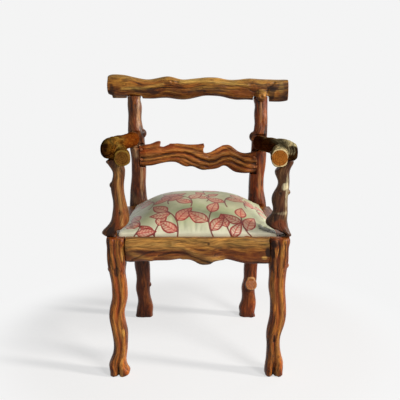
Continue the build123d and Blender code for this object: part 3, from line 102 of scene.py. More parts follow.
class Shader(Nodes):
    """A material of one glossy surface. The numbers of cells in its noises are to a metre."""

    def __init__(self, name, surface=None):
        self.material = bpy.data.materials.new(name)
        self.material.use_nodes = True
        super().__init__(self.material.node_tree)
        self.surface = self.add("ShaderNodeBsdfPrincipled", surface)
        self.output = self.add("ShaderNodeOutputMaterial", {"Surface": self.surface.outputs[0]})

    def attribute(self, name, output):
        return self.add("ShaderNodeAttribute", attribute_name=name).outputs[output]

    def object_place(self):
        return self.add("ShaderNodeTexCoord").outputs["Object"]

    def vector(self, operation, *inputs, output="Vector"):
        inputs = dict(enumerate(inputs))
        return self.add("ShaderNodeVectorMath", inputs, operation=operation).outputs[output]

    def noise(self, vector, cells, detail=2.0, rough=0.5, distortion=0.0):
        """Noise with so many cells, the same for all axes or one number for each."""
        if isinstance(cells, tuple):
            vector, cells = self.vector("MULTIPLY", vector, cells), 1.0
        inputs = {"Vector": vector, "Scale": cells, "Detail": detail, "Roughness": rough}
        inputs["Distortion"] = distortion
        return self.add("ShaderNodeTexNoise", inputs).outputs[0]

    def times(self, a, b):
        return self.math("MULTIPLY", a, b)

    def weighted(self, a, weight_a, b, weight_b):
        return self.math("ADD", self.times(a, weight_a), self.times(b, weight_b))

    def spread(self, value, low, high, to_low=0.0, to_high=1.0):
        """to_low below low, to_high above high, and an even S between them."""
        inputs = {0: value, 1: low, 2: high, 3: to_low, 4: to_high}
        return self.add("ShaderNodeMapRange", inputs, interpolation_type="SMOOTHSTEP").outputs[0]

    def mix(self, factor, a, b, blend="MIX"):
        settings = {"data_type": "RGBA", "blend_type": blend}
        return self.add("ShaderNodeMix", {0: factor, 6: a, 7: b}, **settings).outputs[2]

    def ramp(self, value, stops):
        node = self.add("ShaderNodeValToRGB", {0: value})
        elements = node.color_ramp.elements
        while len(elements) < len(stops):
            elements.new(0.5)
        for element, (place, code) in zip(elements, stops):
            element.position = place
            element.color = rgb(code)
        return node.outputs[0]

    def finished(self, colour, roughness, height, strength, distance):
        """The material with this colour and roughness, and a relief of fine height."""
        inputs = {"Height": height, "Strength": strength, "Distance": distance}
        relief = self.add("ShaderNodeBump", inputs).outputs[0]
        for name, value in (("Base Color", colour), ("Roughness", roughness), ("Normal", relief)):
            self.feed(self.surface.inputs[name], value)
        return self.material


# ---------------- camera, light and floor

CAMERA_PLACE = (0.007, -1.887, 0.849)
CAMERA_TILT = radians(11.4)  # below the horizon
CAMERA_LENS, SENSOR_WIDTH = 54.72, 36.0  # in mm

BACKDROP = "f4f4f4"
WORLD_LIGHT = 0.06  # strength with which the backdrop lights the chair
FLOOR = {"Base Color": "f0f0f1", "Roughness": 0.9, "Specular IOR Level": 0.1}
FLOOR_GLOW = 0.6  # how much of its own white the camera sees on the floor, the rest being lit
FLOOR_REACH = 12.0
FLOOR_LIT = (0.4, 0.85)  # the lit floor turns into the even backdrop between these distances


def make_camera():
    """A camera in front of the chair, looking slightly down."""
    data = bpy.data.cameras.new("camera")
    data.lens = CAMERA_LENS
    data.sensor_width = SENSOR_WIDTH
    camera = placed("camera", data)
    camera.location = CAMERA_PLACE
    camera.rotation_euler = (pi / 2 - CAMERA_TILT, 0, 0)
    bpy.context.scene.camera = camera
    bpy.context.scene.view_settings.view_transform = "Standard"


def make_floor():
    """A pale floor that takes the chair's shadow and fades into an even white backdrop."""
    mesh = bpy.data.meshes.new("floor")
    square = ((-1, -1), (1, -1), (1, 1), (-1, 1))
    corners = [(x * FLOOR_REACH, y * FLOOR_REACH, 0) for x, y in square]
    mesh.from_pydata(corners, [], [(0, 1, 2, 3)])
    floor = placed("floor", mesh)
    shader = Shader("studio_floor", FLOOR)
    away = shader.vector("LENGTH", shader.object_place(), output="Value")
    far = shader.spread(away, *FLOOR_LIT)
    glow = shader.times(shader.spread(far, 0.0, 1.0, FLOOR_GLOW, 1.0), shader.seen())
    even = shader.add("ShaderNodeEmission", {"Color": shader.mix(far, "ffffff", BACKDROP)})
    layers = {0: glow, 1: shader.surface.outputs[0], 2: even.outputs[0]}
    blended = shader.add("ShaderNodeMixShader", layers)
    shader.feed(shader.output.inputs["Surface"], blended.outputs[0])
    mesh.materials.append(shader.material)


def make_world():
    """An even white backdrop that lights the chair less than it shows."""
    world = bpy.data.worlds.new("studio")
    bpy.context.scene.world = world
    world.use_nodes = True
    nodes = Nodes(world.node_tree)
    shown = nodes.add("ShaderNodeBackground", {"Color": BACKDROP})
    lighting = nodes.add("ShaderNodeBackground", {"Color": "f2f4f8", "Strength": WORLD_LIGHT})
    layers = {0: nodes.seen(), 1: lighting.outputs[0], 2: shown.outputs[0]}
    mixed = nodes.add("ShaderNodeMixShader", layers)
    nodes.add("ShaderNodeOutputWorld", {"Surface": mixed.outputs[0]})


def lamp(name, kind, direction, power, colour):
    """A light that shines along a direction."""
    data = bpy.data.lights.new(name, kind)
    data.energy = power
    data.color = rgb(colour)[:3]
    light = placed(name, data)
    light.rotation_euler = Vector(direction).to_track_quat("-Z", "Y").to_euler()
    return light


def soft_light(name, place, target, size, power, colour):
    """A square studio light that faces a point."""
    light = lamp(name, "AREA", Vector(target) - Vector(place), power, colour)
    light.location = place
    light.data.size = size


def make_lights():
    """A distant key light from the right, a large soft one in front and a weak one behind."""
    soft_light("front", (2.3, -2.8, 3.0), (0, 0, 0.4), size=1.1, power=108.0, colour="fffdfa")
    soft_light("rim", (1.9, 1.9, 1.8), (0.1, 0.1, 0.5), size=1.2, power=6.0, colour="ffffff")
    key = lamp("key", "SUN", (-2.9, 0.72, -1.25), power=3.3, colour="fffaf4")
    key.data.angle = radians(8)


make_camera()
make_floor()
make_world()
make_lights()

# ---------------- noise for the carving


def lattice(cells, seed):
    """A steady pseudo-random number from -1 to 1 for each point of a lattice: a usual hash of
    whole numbers, with large primes and shifts of bits."""
    mixed = cells[:, 0] * 73856093 ^ cells[:, 1] * 19349663 ^ cells[:, 2] * 83492791
    mixed = (mixed + seed * 7919) & 0x3FFFFFFF
    mixed = ((mixed ^ (mixed >> 13)) * 1274126177) & 0x3FFFFFFF
    mixed = mixed ^ (mixed >> 15)
    return mixed % 65536 / 32767.5 - 1


def noise(points, seed=0):
    """Smooth noise from -1 to 1 at each point, one unit to a cell."""
    cell = np.floor(points).astype(np.int64)
    t = points - cell
    t = t * t * (3 - 2 * t)
    total = np.zeros(len(points))
    for corner in product((0, 1), repeat=3):
        corner = np.array(corner)
        weight = np.where(corner == 1, t, 1 - t).prod(axis=1)
        total += weight * lattice(cell + corner, seed)
    return total


def cloudy(points, seed=0, octaves=3):
    """Noise with finer noise over it."""
    return sum(noise(points * 2**octave, seed + octave) / 2**octave for octave in range(octaves))


def smooth(value, low, high):
    """0 below low, 1 above high, and an even S between them."""
    t = np.clip((value - low) / (high - low), 0, 1)
    return t * t * (3 - 2 * t)


def bell(distance, width):
    """1 at no distance, falling away over the width."""
    return np.exp(-((distance / width) ** 2))


def to_line(points, line):
    """Distance from each point, in the plane, to a broken line."""
    best = np.full(len(points), np.inf)
    for start, end in zip(line, line[1:]):
        start, run = np.array(start, float), np.array(end, float) - np.array(start, float)
        share = np.clip(((points - start) @ run) / (run @ run), 0, 1)
        best = np.minimum(best, np.linalg.norm(points - start - share[:, None] * run, axis=1))
    return best


# ---------------- carving a branch

VOXEL = 1.8 * MM
SHRINK = 0.3  # the carving takes this much off all round, in mm
CENTRE_STEP = 12.0  # pitch at which a branch's centre line is read, in mm
WELD = 0.01 * MM  # points nearer to each other than this are one
# The marks a material reads: dark wood together with painted shade, pale wood together with painted
# highlights, reddish wood, and sawn faces.
MARKS = ("shade_and_dark_wood", "pale", "warm", "sawn")
X, Y, Z = 0, 1, 2


def read(items, name):
    """The values of a vector property of each item, one row to an item."""
    values = np.zeros(len(items) * 3, np.float32)
    items.foreach_get(name, values)
    return values.reshape(-1, 3).astype(float)


def write(items, name, values):
    """Gives each item its value, or its row of values, of a property."""
    items.foreach_set(name, values.astype(np.float32).ravel())


def store(mesh, name, kind, field, values):
    """Keeps a value for each point of a mesh, which its material reads by name."""
    write(mesh.attributes.new(name, kind, "POINT").data, field, values)


def remeshed(node, voxel, smoothing):
    """A new object: the node's mesh, joined up, with even small faces and softened edges."""
    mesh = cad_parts[node].data.copy()
    joined = bmesh.new()
    joined.from_mesh(mesh)
    bmesh.ops.remove_doubles(joined, verts=joined.verts, dist=WELD)
    joined.to_mesh(mesh)
    joined.free()
    mesh.materials.clear()
    return finely(mesh, node + "_carved", voxel, smoothing)


def finely(mesh, name, voxel, smoothing):
    """A new object of a closed mesh, with even small faces."""
    rough = placed(name + "_rough", mesh)
    voxels = rough.modifiers.new("voxels", "REMESH")
    voxels.mode = "VOXEL"
    voxels.voxel_size = voxel
    softening = rough.modifiers.new("softening", "SMOOTH")
    softening.factor = 0.5
    softening.iterations = smoothing
    graph = bpy.context.evaluated_depsgraph_get()
    result = bpy.data.meshes.new_from_object(rough.evaluated_get(graph))
    result.name = name
    bpy.data.objects.remove(rough)
    return placed(name, result)


def straightened(place, axis):
    """Each point's place across and along its branch, as if the branch were straight, and the
    branch's half size there."""
    along = place[:, axis]
    steps = (along - along.min()) / CENTRE_STEP
    bins = np.round(steps).astype(int)
    kernel = np.array((1, 2, 1)) / 4
    across, sizes = [], []
    for other in (X, Y, Z):
        if other == axis:
            continue
        low = np.full(bins.max() + 1, np.inf)
        high = -low
        np.minimum.at(low, bins, place[:, other])
        np.maximum.at(high, bins, place[:, other])
        middle = np.convolve(np.pad((low + high) / 2, 1, "edge"), kernel, "valid")
        size = np.convolve(np.pad((high - low) / 2, 1, "edge"), kernel, "valid")
        across.append(place[:, other] - np.interp(steps, np.arange(len(middle)), middle))
        sizes.append(np.interp(steps, np.arange(len(size)), size))
    return np.stack((*across, along), axis=1), np.stack(sizes, axis=1)


class Branch:
    """A branch that is being carved. Lengths are millimetres. push is how far each point of its
    surface will move outwards; the marks, from 0 to 1, are read by its material."""

    def __init__(self, node, axis, voxel=VOXEL, smoothing=3):
        self.node = node
        self.object = remeshed(node, voxel, smoothing)
        mesh = self.object.data
        self.place = read(mesh.vertices, "co") / MM
        self.normal = read(mesh.vertex_normals, "vector")
        self.straight, self.size = straightened(self.place, axis)
        self.push = np.zeros(len(self.place))
        self.marks = {name: np.zeros(len(self.place)) for name in MARKS}
        self.heart = self.straight * (1, 1, 0)
        self.faces_front = smooth(-self.normal[:, Y], 0.0, 0.5)

    def turned(self, twist):
        """The straightened places, with the branch untwisted by so many degrees to a metre."""
        angle = np.radians(twist) * self.straight[:, 2] / 1000
        x, y, along = self.straight.T
        across = x * np.cos(angle) - y * np.sin(angle)
        return np.stack((across, x * np.sin(angle) + y * np.cos(angle), along), 1)

    def lumps(self, size, depth, seed):
        """Gentle swellings and hollows."""
        self.push += depth * cloudy(self.straight / (size, size, 2.2 * size), seed, 2)

    def flutes(self, width, run, depth, seed, twist=0.0):
        """Broad rounded ridges along the grain with narrower hollows between them, painted shade in
        the bottoms of the hollows and painted highlights along the crests.
        """
        wander = 0.6 * noise(self.straight / (run, run, run), seed + 5)[:, None]
        places = self.turned(twist) / (width, width, run) + wander
        level = np.abs(cloudy(places, seed, 2))
        round_ridge = smooth(level, 0.0, 0.45)
        self.push += depth * (round_ridge - 0.8)
        # painted shade in the bottoms of the hollows, painted highlights on the crests
        self.mark("shade_and_dark_wood", 0.22 * depth * (1 - smooth(level, 0.0, 0.18)))
        self.mark("pale", 0.22 * smooth(level, 0.4, 0.9))

    def surface(self, x, z, way=-1):
        """The point of the surface at x and z on the front, or on the back if way is 1."""
        near = np.hypot(self.place[:, X] - x, self.place[:, Z] - z)
        depth = np.where(near < max(5.0, near.min() + 1), way * self.place[:, Y], -np.inf)
        return self.place[np.argmax(depth)]

    def knot(self, centre, radius, height, hole=0.3, dark=0.8):
        """A swelling with rings round a dark eye."""
        away = np.linalg.norm(self.place - centre, axis=1)
        away = away * (1 + 0.18 * noise(self.place / (0.9 * radius), 31))
        swelling = bell(away, radius)
        rim = bell(away - 0.95 * radius, 0.22 * radius)
        eye = bell(away, hole * radius)
        rings = swelling * np.cos(away / radius * 5 * pi)
        self.push += height * swelling - 0.25 * height * rim - 1.3 * height * eye + 0.2 * rings
        self.mark("shade_and_dark_wood", dark * (0.4 * rim + eye))

    def front_knot(self, x, z, radius, height, hole=0.3, dark=0.8):
        self.knot(self.surface(x, z), radius, height, hole, dark)

    def scattered_knots(self, count, radius, height, seed):
        """Small knots at steady but scattered places."""
        chosen = np.random.default_rng(seed).choice(len(self.place), count, replace=False)
        for index in chosen:
            self.knot(self.place[index], radius, height, 0.35, 0.6)

    def crack(self, line, width, depth, shade_and_dark_wood=1.0):
        """A crack along a line of (x, z) points on the front, with painted shade inside it."""
        flat = self.place[:, (X, Z)] + 1.2 * noise(self.place / 14.0, 3)[:, None]
        groove = bell(to_line(flat, line), width) * self.faces_front
        self.push -= depth * groove
        self.mark("shade_and_dark_wood", shade_and_dark_wood * groove)

    def ridge(self, line, width, height, pale=0.5):
        """A raised ridge along a line of (x, z) points on the front, with a painted highlight along
        its crest.
        """
        flat = self.place[:, (X, Z)]
        rise = bell(to_line(flat, line), width) * self.faces_front
        self.push += height * rise
        self.mark("pale", pale * rise)

    def patch(self, name, x, z, half_x, half_z, amount, seed=0):
        """A patch of a mark, ragged at its edge, on the front."""
        away = np.hypot((self.place[:, X] - x) / half_x, (self.place[:, Z] - z) / half_z)
        away += 0.35 * cloudy(self.straight / (9, 9, 30), seed, 2)
        self.mark(name, amount * (1 - smooth(away, 0.6, 1.1)) * self.faces_front)

    def mark(self, name, amount):
        self.marks[name] = np.clip(self.marks[name] + amount, 0, 1)

    def sawn_end(self, way, centre, radius, rim=0.0):
        """Marks the sawn face about a centre that looks along way, with its rings round the
        centre and, if there is one, a rim of paler bark outside that radius."""
        way = np.array(way, float) / np.linalg.norm(way)
        flat = self.place - centre
        flat -= (flat @ way)[:, None] * way
        away = np.linalg.norm(flat, axis=1)
        near = np.linalg.norm(self.place - centre, axis=1) < radius
        face = smooth(self.normal @ way, 0.7, 0.9) * near
        self.mark("sawn", face)
        self.heart = np.where(face[:, None] > 0.01, flat, self.heart)
        if rim:
            self.marks["pale"] *= 1 - face
            self.mark("pale", 0.9 * face * smooth(away, rim - 1.0, rim + 1.0))

    def redden(self, base, spread, cell, seed):
        """Reddish parts, in places more and in places less."""
        self.mark("warm", base + spread * noise(self.straight / cell, seed))

    def keep_flat(self, inside=(0, 0, 0)):
        """Leaves the planed top as it is, and the planed side that looks inside, if any."""
        inner = smooth(self.normal @ np.array(inside, float), 0.5, 0.8)
        still = np.maximum(smooth(self.normal[:, Z], 0.6, 0.9), inner)
        self.push *= 1 - still
        for name in ("shade_and_dark_wood", "pale"):
            self.marks[name] *= 1 - 0.7 * still

    def finish(self, material):
        """Paints shade on the underside, moves the surface, writes the marks and puts the branch in
        place of its CAD node."""
        mesh = self.object.data
        self.mark("shade_and_dark_wood", 0.3 * smooth(-self.normal[:, Z], 0.2, 0.9))
        self.push = (self.push - SHRINK) * (1 - 0.9 * self.marks["sawn"])
        moved = (self.place + self.push[:, None] * self.normal) * MM
        moved[:, Z] = np.maximum(moved[:, Z], 0)
        write(mesh.vertices, "co", moved)
        store(mesh, "straight", "FLOAT_VECTOR", "vector", self.straight * MM)
        store(mesh, "heart", "FLOAT_VECTOR", "vector", self.heart * MM)
        marks = np.stack([np.clip(self.marks[name], 0, 1) for name in MARKS], axis=1)
        store(mesh, "marks", "FLOAT_COLOR", "color", marks)
        mesh.update()
        mesh.shade_smooth()
        mesh.materials.append(material)
        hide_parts(self.node)
        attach(self.object, "root")


# ---------------- wood finishes

# Cells of each noise to a metre: across the grain, twice, and along it.
STREAKS = (60, 60, 11)
FINE_GRAIN = (420, 420, 26)
BLOTCHES = (24, 24, 11)
DARK_LINES = (560, 560, 20)

RING_TURN = 1150.0  # radians to a metre from the heart, a ring every 5.5 mm
RING_WOBBLE = 9.0  # radians
RING_WOBBLE_CELLS = 60.0
SPLIT_CELLS = 5.0  # round the heart; a sawn face is split where this noise is at its middle


def wood(name, dark, mid, light, pale, warm, sawn_light="c48440", sawn_dark="6b3516", gleam=0.2):
    """Varnished branch wood: streaks along the grain, blotches, dark wood with painted shade in the
    hollows, pale wood with painted highlights on the crests of the ridges, reddish parts and sawn
    ends with rings."""
    shader = Shader(name, {"Specular IOR Level": gleam})
    straight = shader.attribute("straight", "Vector")
    marks = shader.attribute("marks", "Color")
    shade_and_dark_wood, pale_and_highlight, red = shader.add("ShaderNodeSeparateColor", {0: marks}).outputs
    streaks = shader.noise(straight, STREAKS, 5.0, 0.6, 1.2)
    fine = shader.noise(straight, FINE_GRAIN, 3.0, 0.6)
    blotches = shader.noise(straight, BLOTCHES, 3.0, 0.6)
    grain = shader.weighted(streaks, 0.62, fine, 0.38)
    colour = shader.ramp(grain, [(0.4, dark), (0.49, mid), (0.61, light)])
    colour = shader.mix(shader.spread(blotches, 0.4, 0.64, 0.0, 0.55), colour, warm, "OVERLAY")
    colour = shader.mix(shader.spread(blotches, 0.32, 0.5, 0.5, 0.0), colour, dark)
    colour = shader.mix(shader.times(red, 0.75), colour, warm)
    # pale wood and painted highlights where the pale mark is set, broken by the fine grain
    pale_and_highlight_share = shader.times(pale_and_highlight, shader.spread(fine, 0.35, 0.6, 0.35, 1.0))
    colour = shader.mix(pale_and_highlight_share, colour, pale)
    lines = shader.noise(straight, DARK_LINES)
    colour = shader.mix(shader.spread(lines, 0.33, 0.42, 0.7, 0.0), colour, dark)
    # dark wood and painted shade where that mark is set
    colour = shader.mix(shader.spread(shade_and_dark_wood, 0.03, 0.9, 0.0, 0.92), colour, "180b06")

    heart = shader.attribute("heart", "Vector")
    away = shader.vector("LENGTH", heart, output="Value")
    wobble = shader.noise(straight, RING_WOBBLE_CELLS)
    turn = shader.weighted(away, RING_TURN, wobble, RING_WOBBLE)
    rings = shader.spread(shader.math("SINE", turn), -0.9, 0.9)
    face = shader.mix(shader.times(rings, 0.6), sawn_light, sawn_dark)
    way = shader.noise(shader.vector("NORMALIZE", heart), SPLIT_CELLS, 1.0)
    split = shader.math("ABSOLUTE", shader.math("SUBTRACT", way, 0.5))
    face = shader.mix(shader.spread(split, 0.0, 0.02, 0.75, 0.0), face, dark)
    face = shader.mix(shader.spread(blotches, 0.45, 0.62, 0.0, 0.4), face, sawn_dark)
    face = shader.mix(shader.spread(fine, 0.3, 0.42, 0.6, 0.0), face, sawn_dark)
    face = shader.mix(pale_and_highlight, face, pale)
    colour = shader.mix(shader.attribute("marks", "Alpha"), colour, face)

    varnish = shader.spread(grain, 0.35, 0.65, 0.42, 0.28)
    roughness = shader.math("ADD", varnish, shader.times(shade_and_dark_wood, 0.35), True)
    height = shader.weighted(streaks, 1.0, fine, 0.6)
    return shader.finished(colour, roughness, height, 0.7, 0.002)


CREST_WOOD = wood("crest_wood", "311705", "7e4e1c", "c58b38", "e4b960", "803f0f")
SLAT_WOOD = wood("slat_wood", "2a1003", "7d4115", "be7029", "dc9c50", "8b3a0c")
POST_WOOD = {
    "left": wood("post_wood_left", "140702", "54290c", "935423", "cfa577", "6e2c0a"),
    "right": wood("post_wood_right", "190802", "632f0d", "a25820", "cc9963", "853a0f", "9f5e2a"),
}
LEG_WOOD = wood("leg_wood", "2b0f02", "804211", "c57a27", "d8a14d", "87350c")
RAIL_WOOD = wood("rail_wood", "2c1304", "734116", "bf8136", "dcac5a", "71310c")
ARM_WOOD = {
    "left": wood(
        "arm_wood_left", "130702", "562e0c", "95631c", "8b6e30", "70330d", "7a5222", "4a2b12", 0.0
    ),
    "right": wood(
        "arm_wood_right", "0d0602", "41240c", "81571f", "ddcf9c", "612b0d", "a9692a", "7a4216", 0.0
    ),
}
SUPPORT_WOOD = {
    "left": wood("support_wood_left", "130703", "532f12", "955f27", "be8d4e", "773610"),
    "right": wood("support_wood_right", "100803", "432915", "7d5b36", "d6c8a0", "682e0f"),
}

# ---------------- crest rail and back slat


def carve_crest():
    """A gnarled log with a long crack, knots, and a burl over the right post."""
    crest = Branch("crest_rail", X)
    crest.lumps(34.0, 1.5, 11)
    crest.flutes(30.0, 230.0, 1.6, 15, twist=-8)
    long_crack = [(-164, 812), (-110, 816), (-60, 812), (-10, 814), (60, 811), (143, 808)]
    crest.crack(long_crack, 1.1, 2.2, 0.9)
    crest.crack([(-285, 806), (-230, 801), (-180, 797)], 2.0, 1.0, 0.35)
    crest.crack([(128, 822), (170, 812), (192, 800)], 2.4, 1.6, 0.45)
    crest.crack([(262, 832), (240, 812), (236, 786)], 4.0, 3.0, 0.4)
    crest.ridge([(-60, 832), (20, 836), (110, 828), (170, 824)], 5.0, 1.6)
    crest.ridge([(-260, 812), (-190, 813), (-120, 824)], 5.0, 1.4)
    crest.front_knot(-87, 838, 15, 2.0, 0.3, 0.35)
    crest.front_knot(-251, 822, 12, 1.2, 0.25, 0.3)
    crest.front_knot(23, 798, 4.0, 0.5, 0.8, 0.9)
    crest.front_knot(216, 782, 22, 4.0, 0.22, 0.5)
    crest.patch("shade_and_dark_wood", 254, 793, 11, 24, 0.5, 5)
    crest.patch("shade_and_dark_wood", 238, 814, 30, 6, 0.45, 6)
    crest.patch("pale", 286, 815, 12, 24, 0.35, 7)
    crest.patch("shade_and_dark_wood", -296, 800, 12, 34, 0.4, 8)
    crest.patch("warm", 150, 796, 60, 16, 0.5, 9)
    # painted shade makes the underside redder; painted top light makes the top paler
    crest.mark("warm", 0.5 * smooth(-crest.normal[:, Z], -0.2, 0.7))
    crest.mark("pale", 0.3 * smooth(crest.normal[:, Z], 0.1, 0.8))
    crest.mark("shade_and_dark_wood", 0.35 * smooth(crest.place[:, X], 225.0, 300.0) * crest.faces_front)
    crest.sawn_end((1, 0, 0), (310, 250, 805), 60)
    crest.finish(CREST_WOOD)


# The slat's grooves and the ridges beside them, as (x, z) points on its front: width and depth.
SLAT_GROOVES = (
    (4.0, 3.4, ((-194, 577), (-157, 580), (-125, 587), (-88, 596), (-46, 596), (-18, 587), (9, 573),
                (37, 567), (60, 569), (83, 582), (111, 587), (139, 575), (162, 563), (199, 559))),
    (2.6, 2.2, ((-194, 566), (-148, 569), (-111, 577), (-79, 582), (-46, 577), (-18, 563), (5, 554),
                (37, 549), (65, 556), (93, 569), (116, 566), (143, 552), (176, 542), (204, 540))),
    (2.2, 1.6, ((-55, 568), (-32, 556), (-9, 547), (19, 541))),
    (2.6, 1.8, ((37, 582), (83, 603), (106, 609), (143, 591), (176, 582))),
    (2.2, 1.2, ((-79, 615), (-32, 610), (14, 598))),
    (2.2, 1.2, ((-176, 603), (-129, 614))),
)
RIDGE_RISE = 9.0  # from the middle of a groove up to the crest of the ridge over it


def carve_slat():
    """A weathered board with bold ridges that follow its waves, and torn edges."""
    slat = Branch("back_slat", X, 1.5 * MM)
    slat.lumps(30.0, 0.8, 21)
    for width, depth, line in SLAT_GROOVES:
        slat.crack(line, width, depth, 0.2 * depth)
        slat.ridge([(x, z + RIDGE_RISE) for x, z in line], 0.55 * RIDGE_RISE, 0.5 * depth, 0.3)
        slat.ridge([(x, z - RIDGE_RISE) for x, z in line], 0.5 * RIDGE_RISE, 0.35 * depth, 0.2)
    slat.flutes(12.0, 130.0, 0.5, 24)
    slat.redden(0.3, 0.3, (30, 30, 80), 25)
    slat.mark("shade_and_dark_wood", 0.4 * smooth(np.abs(slat.place[:, X]), 170.0, 200.0) * slat.faces_front)
    slat.finish(SLAT_WOOD)


# ---------------- posts and legs


def carve_posts():
    """The branches that are rear legs below the seat and back posts above it."""
    for name, seed in (("left", 30), ("right", 40)):
        post = Branch(f"back_post_{name}", Z)
        post.lumps(30.0, 1.1, seed)
        post.flutes(26.0, 200.0, 1.1, seed + 2, twist=25)
        post.scattered_knots(4, 8.0, 0.8, seed + 3)
        if name == "left":
            post.front_knot(-189, 116, 10, 1.2, 0.3, 0.5)
            post.ridge([(-224, 660), (-218, 620), (-212, 585)], 7.0, 1.4, 0.5)
            # painted highlights down the post
            post.patch("pale", -205, 725, 7, 60, 0.5, 31)
            post.patch("pale", -192, 500, 6, 50, 0.45, 32)
            post.patch("warm", -212, 690, 14, 36, 0.7, 33)
        else:
            post.front_knot(198, 645, 15, 1.5, 0.25, 0.5)
            # painted highlights down the post
            post.patch("pale", 216, 740, 6, 46, 0.4, 41)
            post.patch("pale", 212, 500, 6, 60, 0.35, 42)
            post.patch("shade_and_dark_wood", 190, 660, 14, 22, 0.5, 43)
            post.sawn_end((0.12, -0.88, 0.42), (188, 163, 132), 26, 19.0)
        lower = 1 - smooth(post.place[:, Z], 60.0, 380.0)
        post.redden(0.1 + 0.25 * lower, 0.4, (22, 22, 60), seed + 4)
        post.mark("shade_and_dark_wood", 0.3 * (1 - smooth(post.place[:, Z], 2.0, 30.0)))
        post.mark("shade_and_dark_wood", 0.3 * bell(post.place[:, Z] - 420.0, 40.0))
        post.finish(POST_WOOD[name])


# Painted highlights and painted shade along a front leg, as pale and dark stripes: sideways from
# its furrow, width, mark and amount.
LEG_LIGHT_AND_SHADE = ((-10.0, 4.5, "pale", 0.15), (9.0, 5.5, "pale", 0.35), (-20.0, 6.0, "shade_and_dark_wood", 0.3))


def carve_front_legs():
    """Front legs: a long furrow down the front and a foot split in two like a hoof."""
    for name, side, seed in (("left", -1, 50), ("right", 1, 60)):
        leg = Branch(f"front_leg_{name}", Z)
        leg.lumps(28.0, 1.0, seed)
        leg.flutes(22.0, 210.0, 1.4, seed + 2, twist=-10 * side)
        middle = leg.straight[:, 0] + 4.0 * noise(leg.straight / (400, 400, 70), seed + 3)
        front = smooth(-leg.straight[:, 1] / leg.size[:, 1], 0.1, 0.6)
        height = leg.place[:, Z]
        foot = 1 - smooth(height, 18.0, 75.0)
        cleft = bell(middle, 3.6) * front * (1 - smooth(height, 300.0, 350.0))
        leg.push -= (1.8 + 4.5 * foot) * cleft
        # painted shade in the furrow, strongest in the split of the foot
        leg.mark("shade_and_dark_wood", (0.16 + 0.5 * foot) * cleft)
        leg.mark("warm", 0.6 * bell(middle, 9.0) * front * smooth(height, 40.0, 120.0))
        # painted highlights either side of the furrow, painted shade down the left side
        for shift, width, mark, amount in LEG_LIGHT_AND_SHADE:
            leg.mark(mark, amount * bell(middle - shift, width) * front)
        if name == "left":
            leg.patch("pale", -211, 136, 5, 14, 0.7, 51)
            # painted highlight on the upper leg
            leg.patch("pale", -208, 372, 6, 24, 0.6, 52)
            leg.patch("shade_and_dark_wood", -226, 318, 10, 16, 0.5, 53)
            leg.crack([(-247, 410), (-243, 370), (-236, 325)], 2.2, 1.6, 0.4)
            leg.crack([(-229, 412), (-232, 372), (-224, 330)], 2.4, 2.0, 0.5)
            leg.crack([(-215, 410), (-217, 380), (-211, 345)], 2.2, 1.6, 0.4)
        else:
            leg.crack([(219, 126), (218, 108)], 2.6, 2.5, 1.0)
            leg.crack([(218, 108), (220, 88), (217, 60)], 1.6, 1.6, 0.5)
            leg.front_knot(209, 396, 9, 1.6, 0.55, 1.0)
            # painted shade where the front rail meets the leg
            leg.patch("shade_and_dark_wood", 207, 373, 8, 13, 0.85, 61)
            leg.patch("pale", 226, 378, 12, 16, 0.35, 62)
            leg.crack([(222, 410), (228, 385), (220, 350), (224, 300)], 2.4, 1.8, 0.5)
            leg.crack([(240, 405), (243, 370), (238, 330)], 2.2, 1.6, 0.4)
        upper = smooth(height, 300.0, 345.0)
        leg.redden(0.05 + 0.15 * upper, 0.35, (14, 14, 90), seed + 4)
        leg.mark("shade_and_dark_wood", 0.25 * (1 - smooth(height, 1.0, 10.0)) + 0.22 * upper)
        leg.keep_flat()
        leg.finish(LEG_WOOD)


# ---------------- seat rails


def carve_front_rail():
    """A root with a planed top, a twisting ridge near its middle and a right end darkened with
    painted shade.
    """
    rail = Branch("front_seat_rail", X)
    rail.lumps(30.0, 1.1, 71)
    rail.flutes(26.0, 260.0, 1.4, 73, twist=-15)
    long_crack = [(-190, 388), (-120, 392), (-40, 386), (20, 392), (110, 385), (170, 390)]
    rail.crack(long_crack, 1.6, 1.0, 0.4)
    rail.crack([(-110, 362), (-70, 372), (-30, 368), (10, 352), (40, 344)], 3.6, 3.0, 0.6)
    rail.ridge([(-70, 394), (-35, 386), (-8, 370), (24, 360), (70, 354)], 7.0, 3.4, 0.35)
    rail.ridge([(-40, 352), (-20, 344), (10, 341), (36, 343)], 6.0, 3.0, 0.35)
    rail.ridge([(-190, 374), (-160, 362), (-130, 352)], 7.0, 2.6, 0.25)
    rail.crack([(-122, 377), (-150, 368), (-182, 352)], 3.0, 2.0, 0.6)
    rail.front_knot(35, 402, 3.5, 0.3, 0.8, 1.0)
    # painted shade where the rail meets the right leg, and a painted highlight below it
    rail.patch("shade_and_dark_wood", 196, 374, 9, 16, 0.9, 74)
    rail.patch("pale", 186, 358, 10, 8, 0.7, 75)
    rail.scattered_knots(3, 8.0, 0.8, 76)
    # painted top light along the upper band and painted shade along the lower edge; the lower part
    # is also redder wood
    rail.mark("pale", 0.4 * smooth(rail.place[:, Z], 378.0, 400.0))
    rail.mark("warm", 0.8 * (1 - smooth(rail.place[:, Z], 352.0, 390.0)))
    rail.mark("shade_and_dark_wood", 0.3 * (1 - smooth(rail.place[:, Z], 338.0, 358.0)))
    rail.keep_flat((0, 1, 0))
    rail.finish(RAIL_WOOD)


def carve_other_rails():
    """The rear and side rails, planed on top and inside."""
    rails = (("rear_seat_rail", X, (0, -1, 0), 80), ("side_seat_rail_left", Y, (1, 0, 0), 84))
    for node, axis, inside, seed in rails + (("side_seat_rail_right", Y, (-1, 0, 0), 88),):
        rail = Branch(node, axis)
        rail.lumps(30.0, 1.2, seed)
        rail.flutes(26.0, 240.0, 1.5, seed + 2, twist=-15)
        rail.scattered_knots(5, 9.0, 1.2, seed + 3)
        rail.redden(0.3, 0.3, (20, 20, 70), seed)
        rail.keep_flat(inside)
        rail.finish(RAIL_WOOD)


# ---------------- arms and their supports


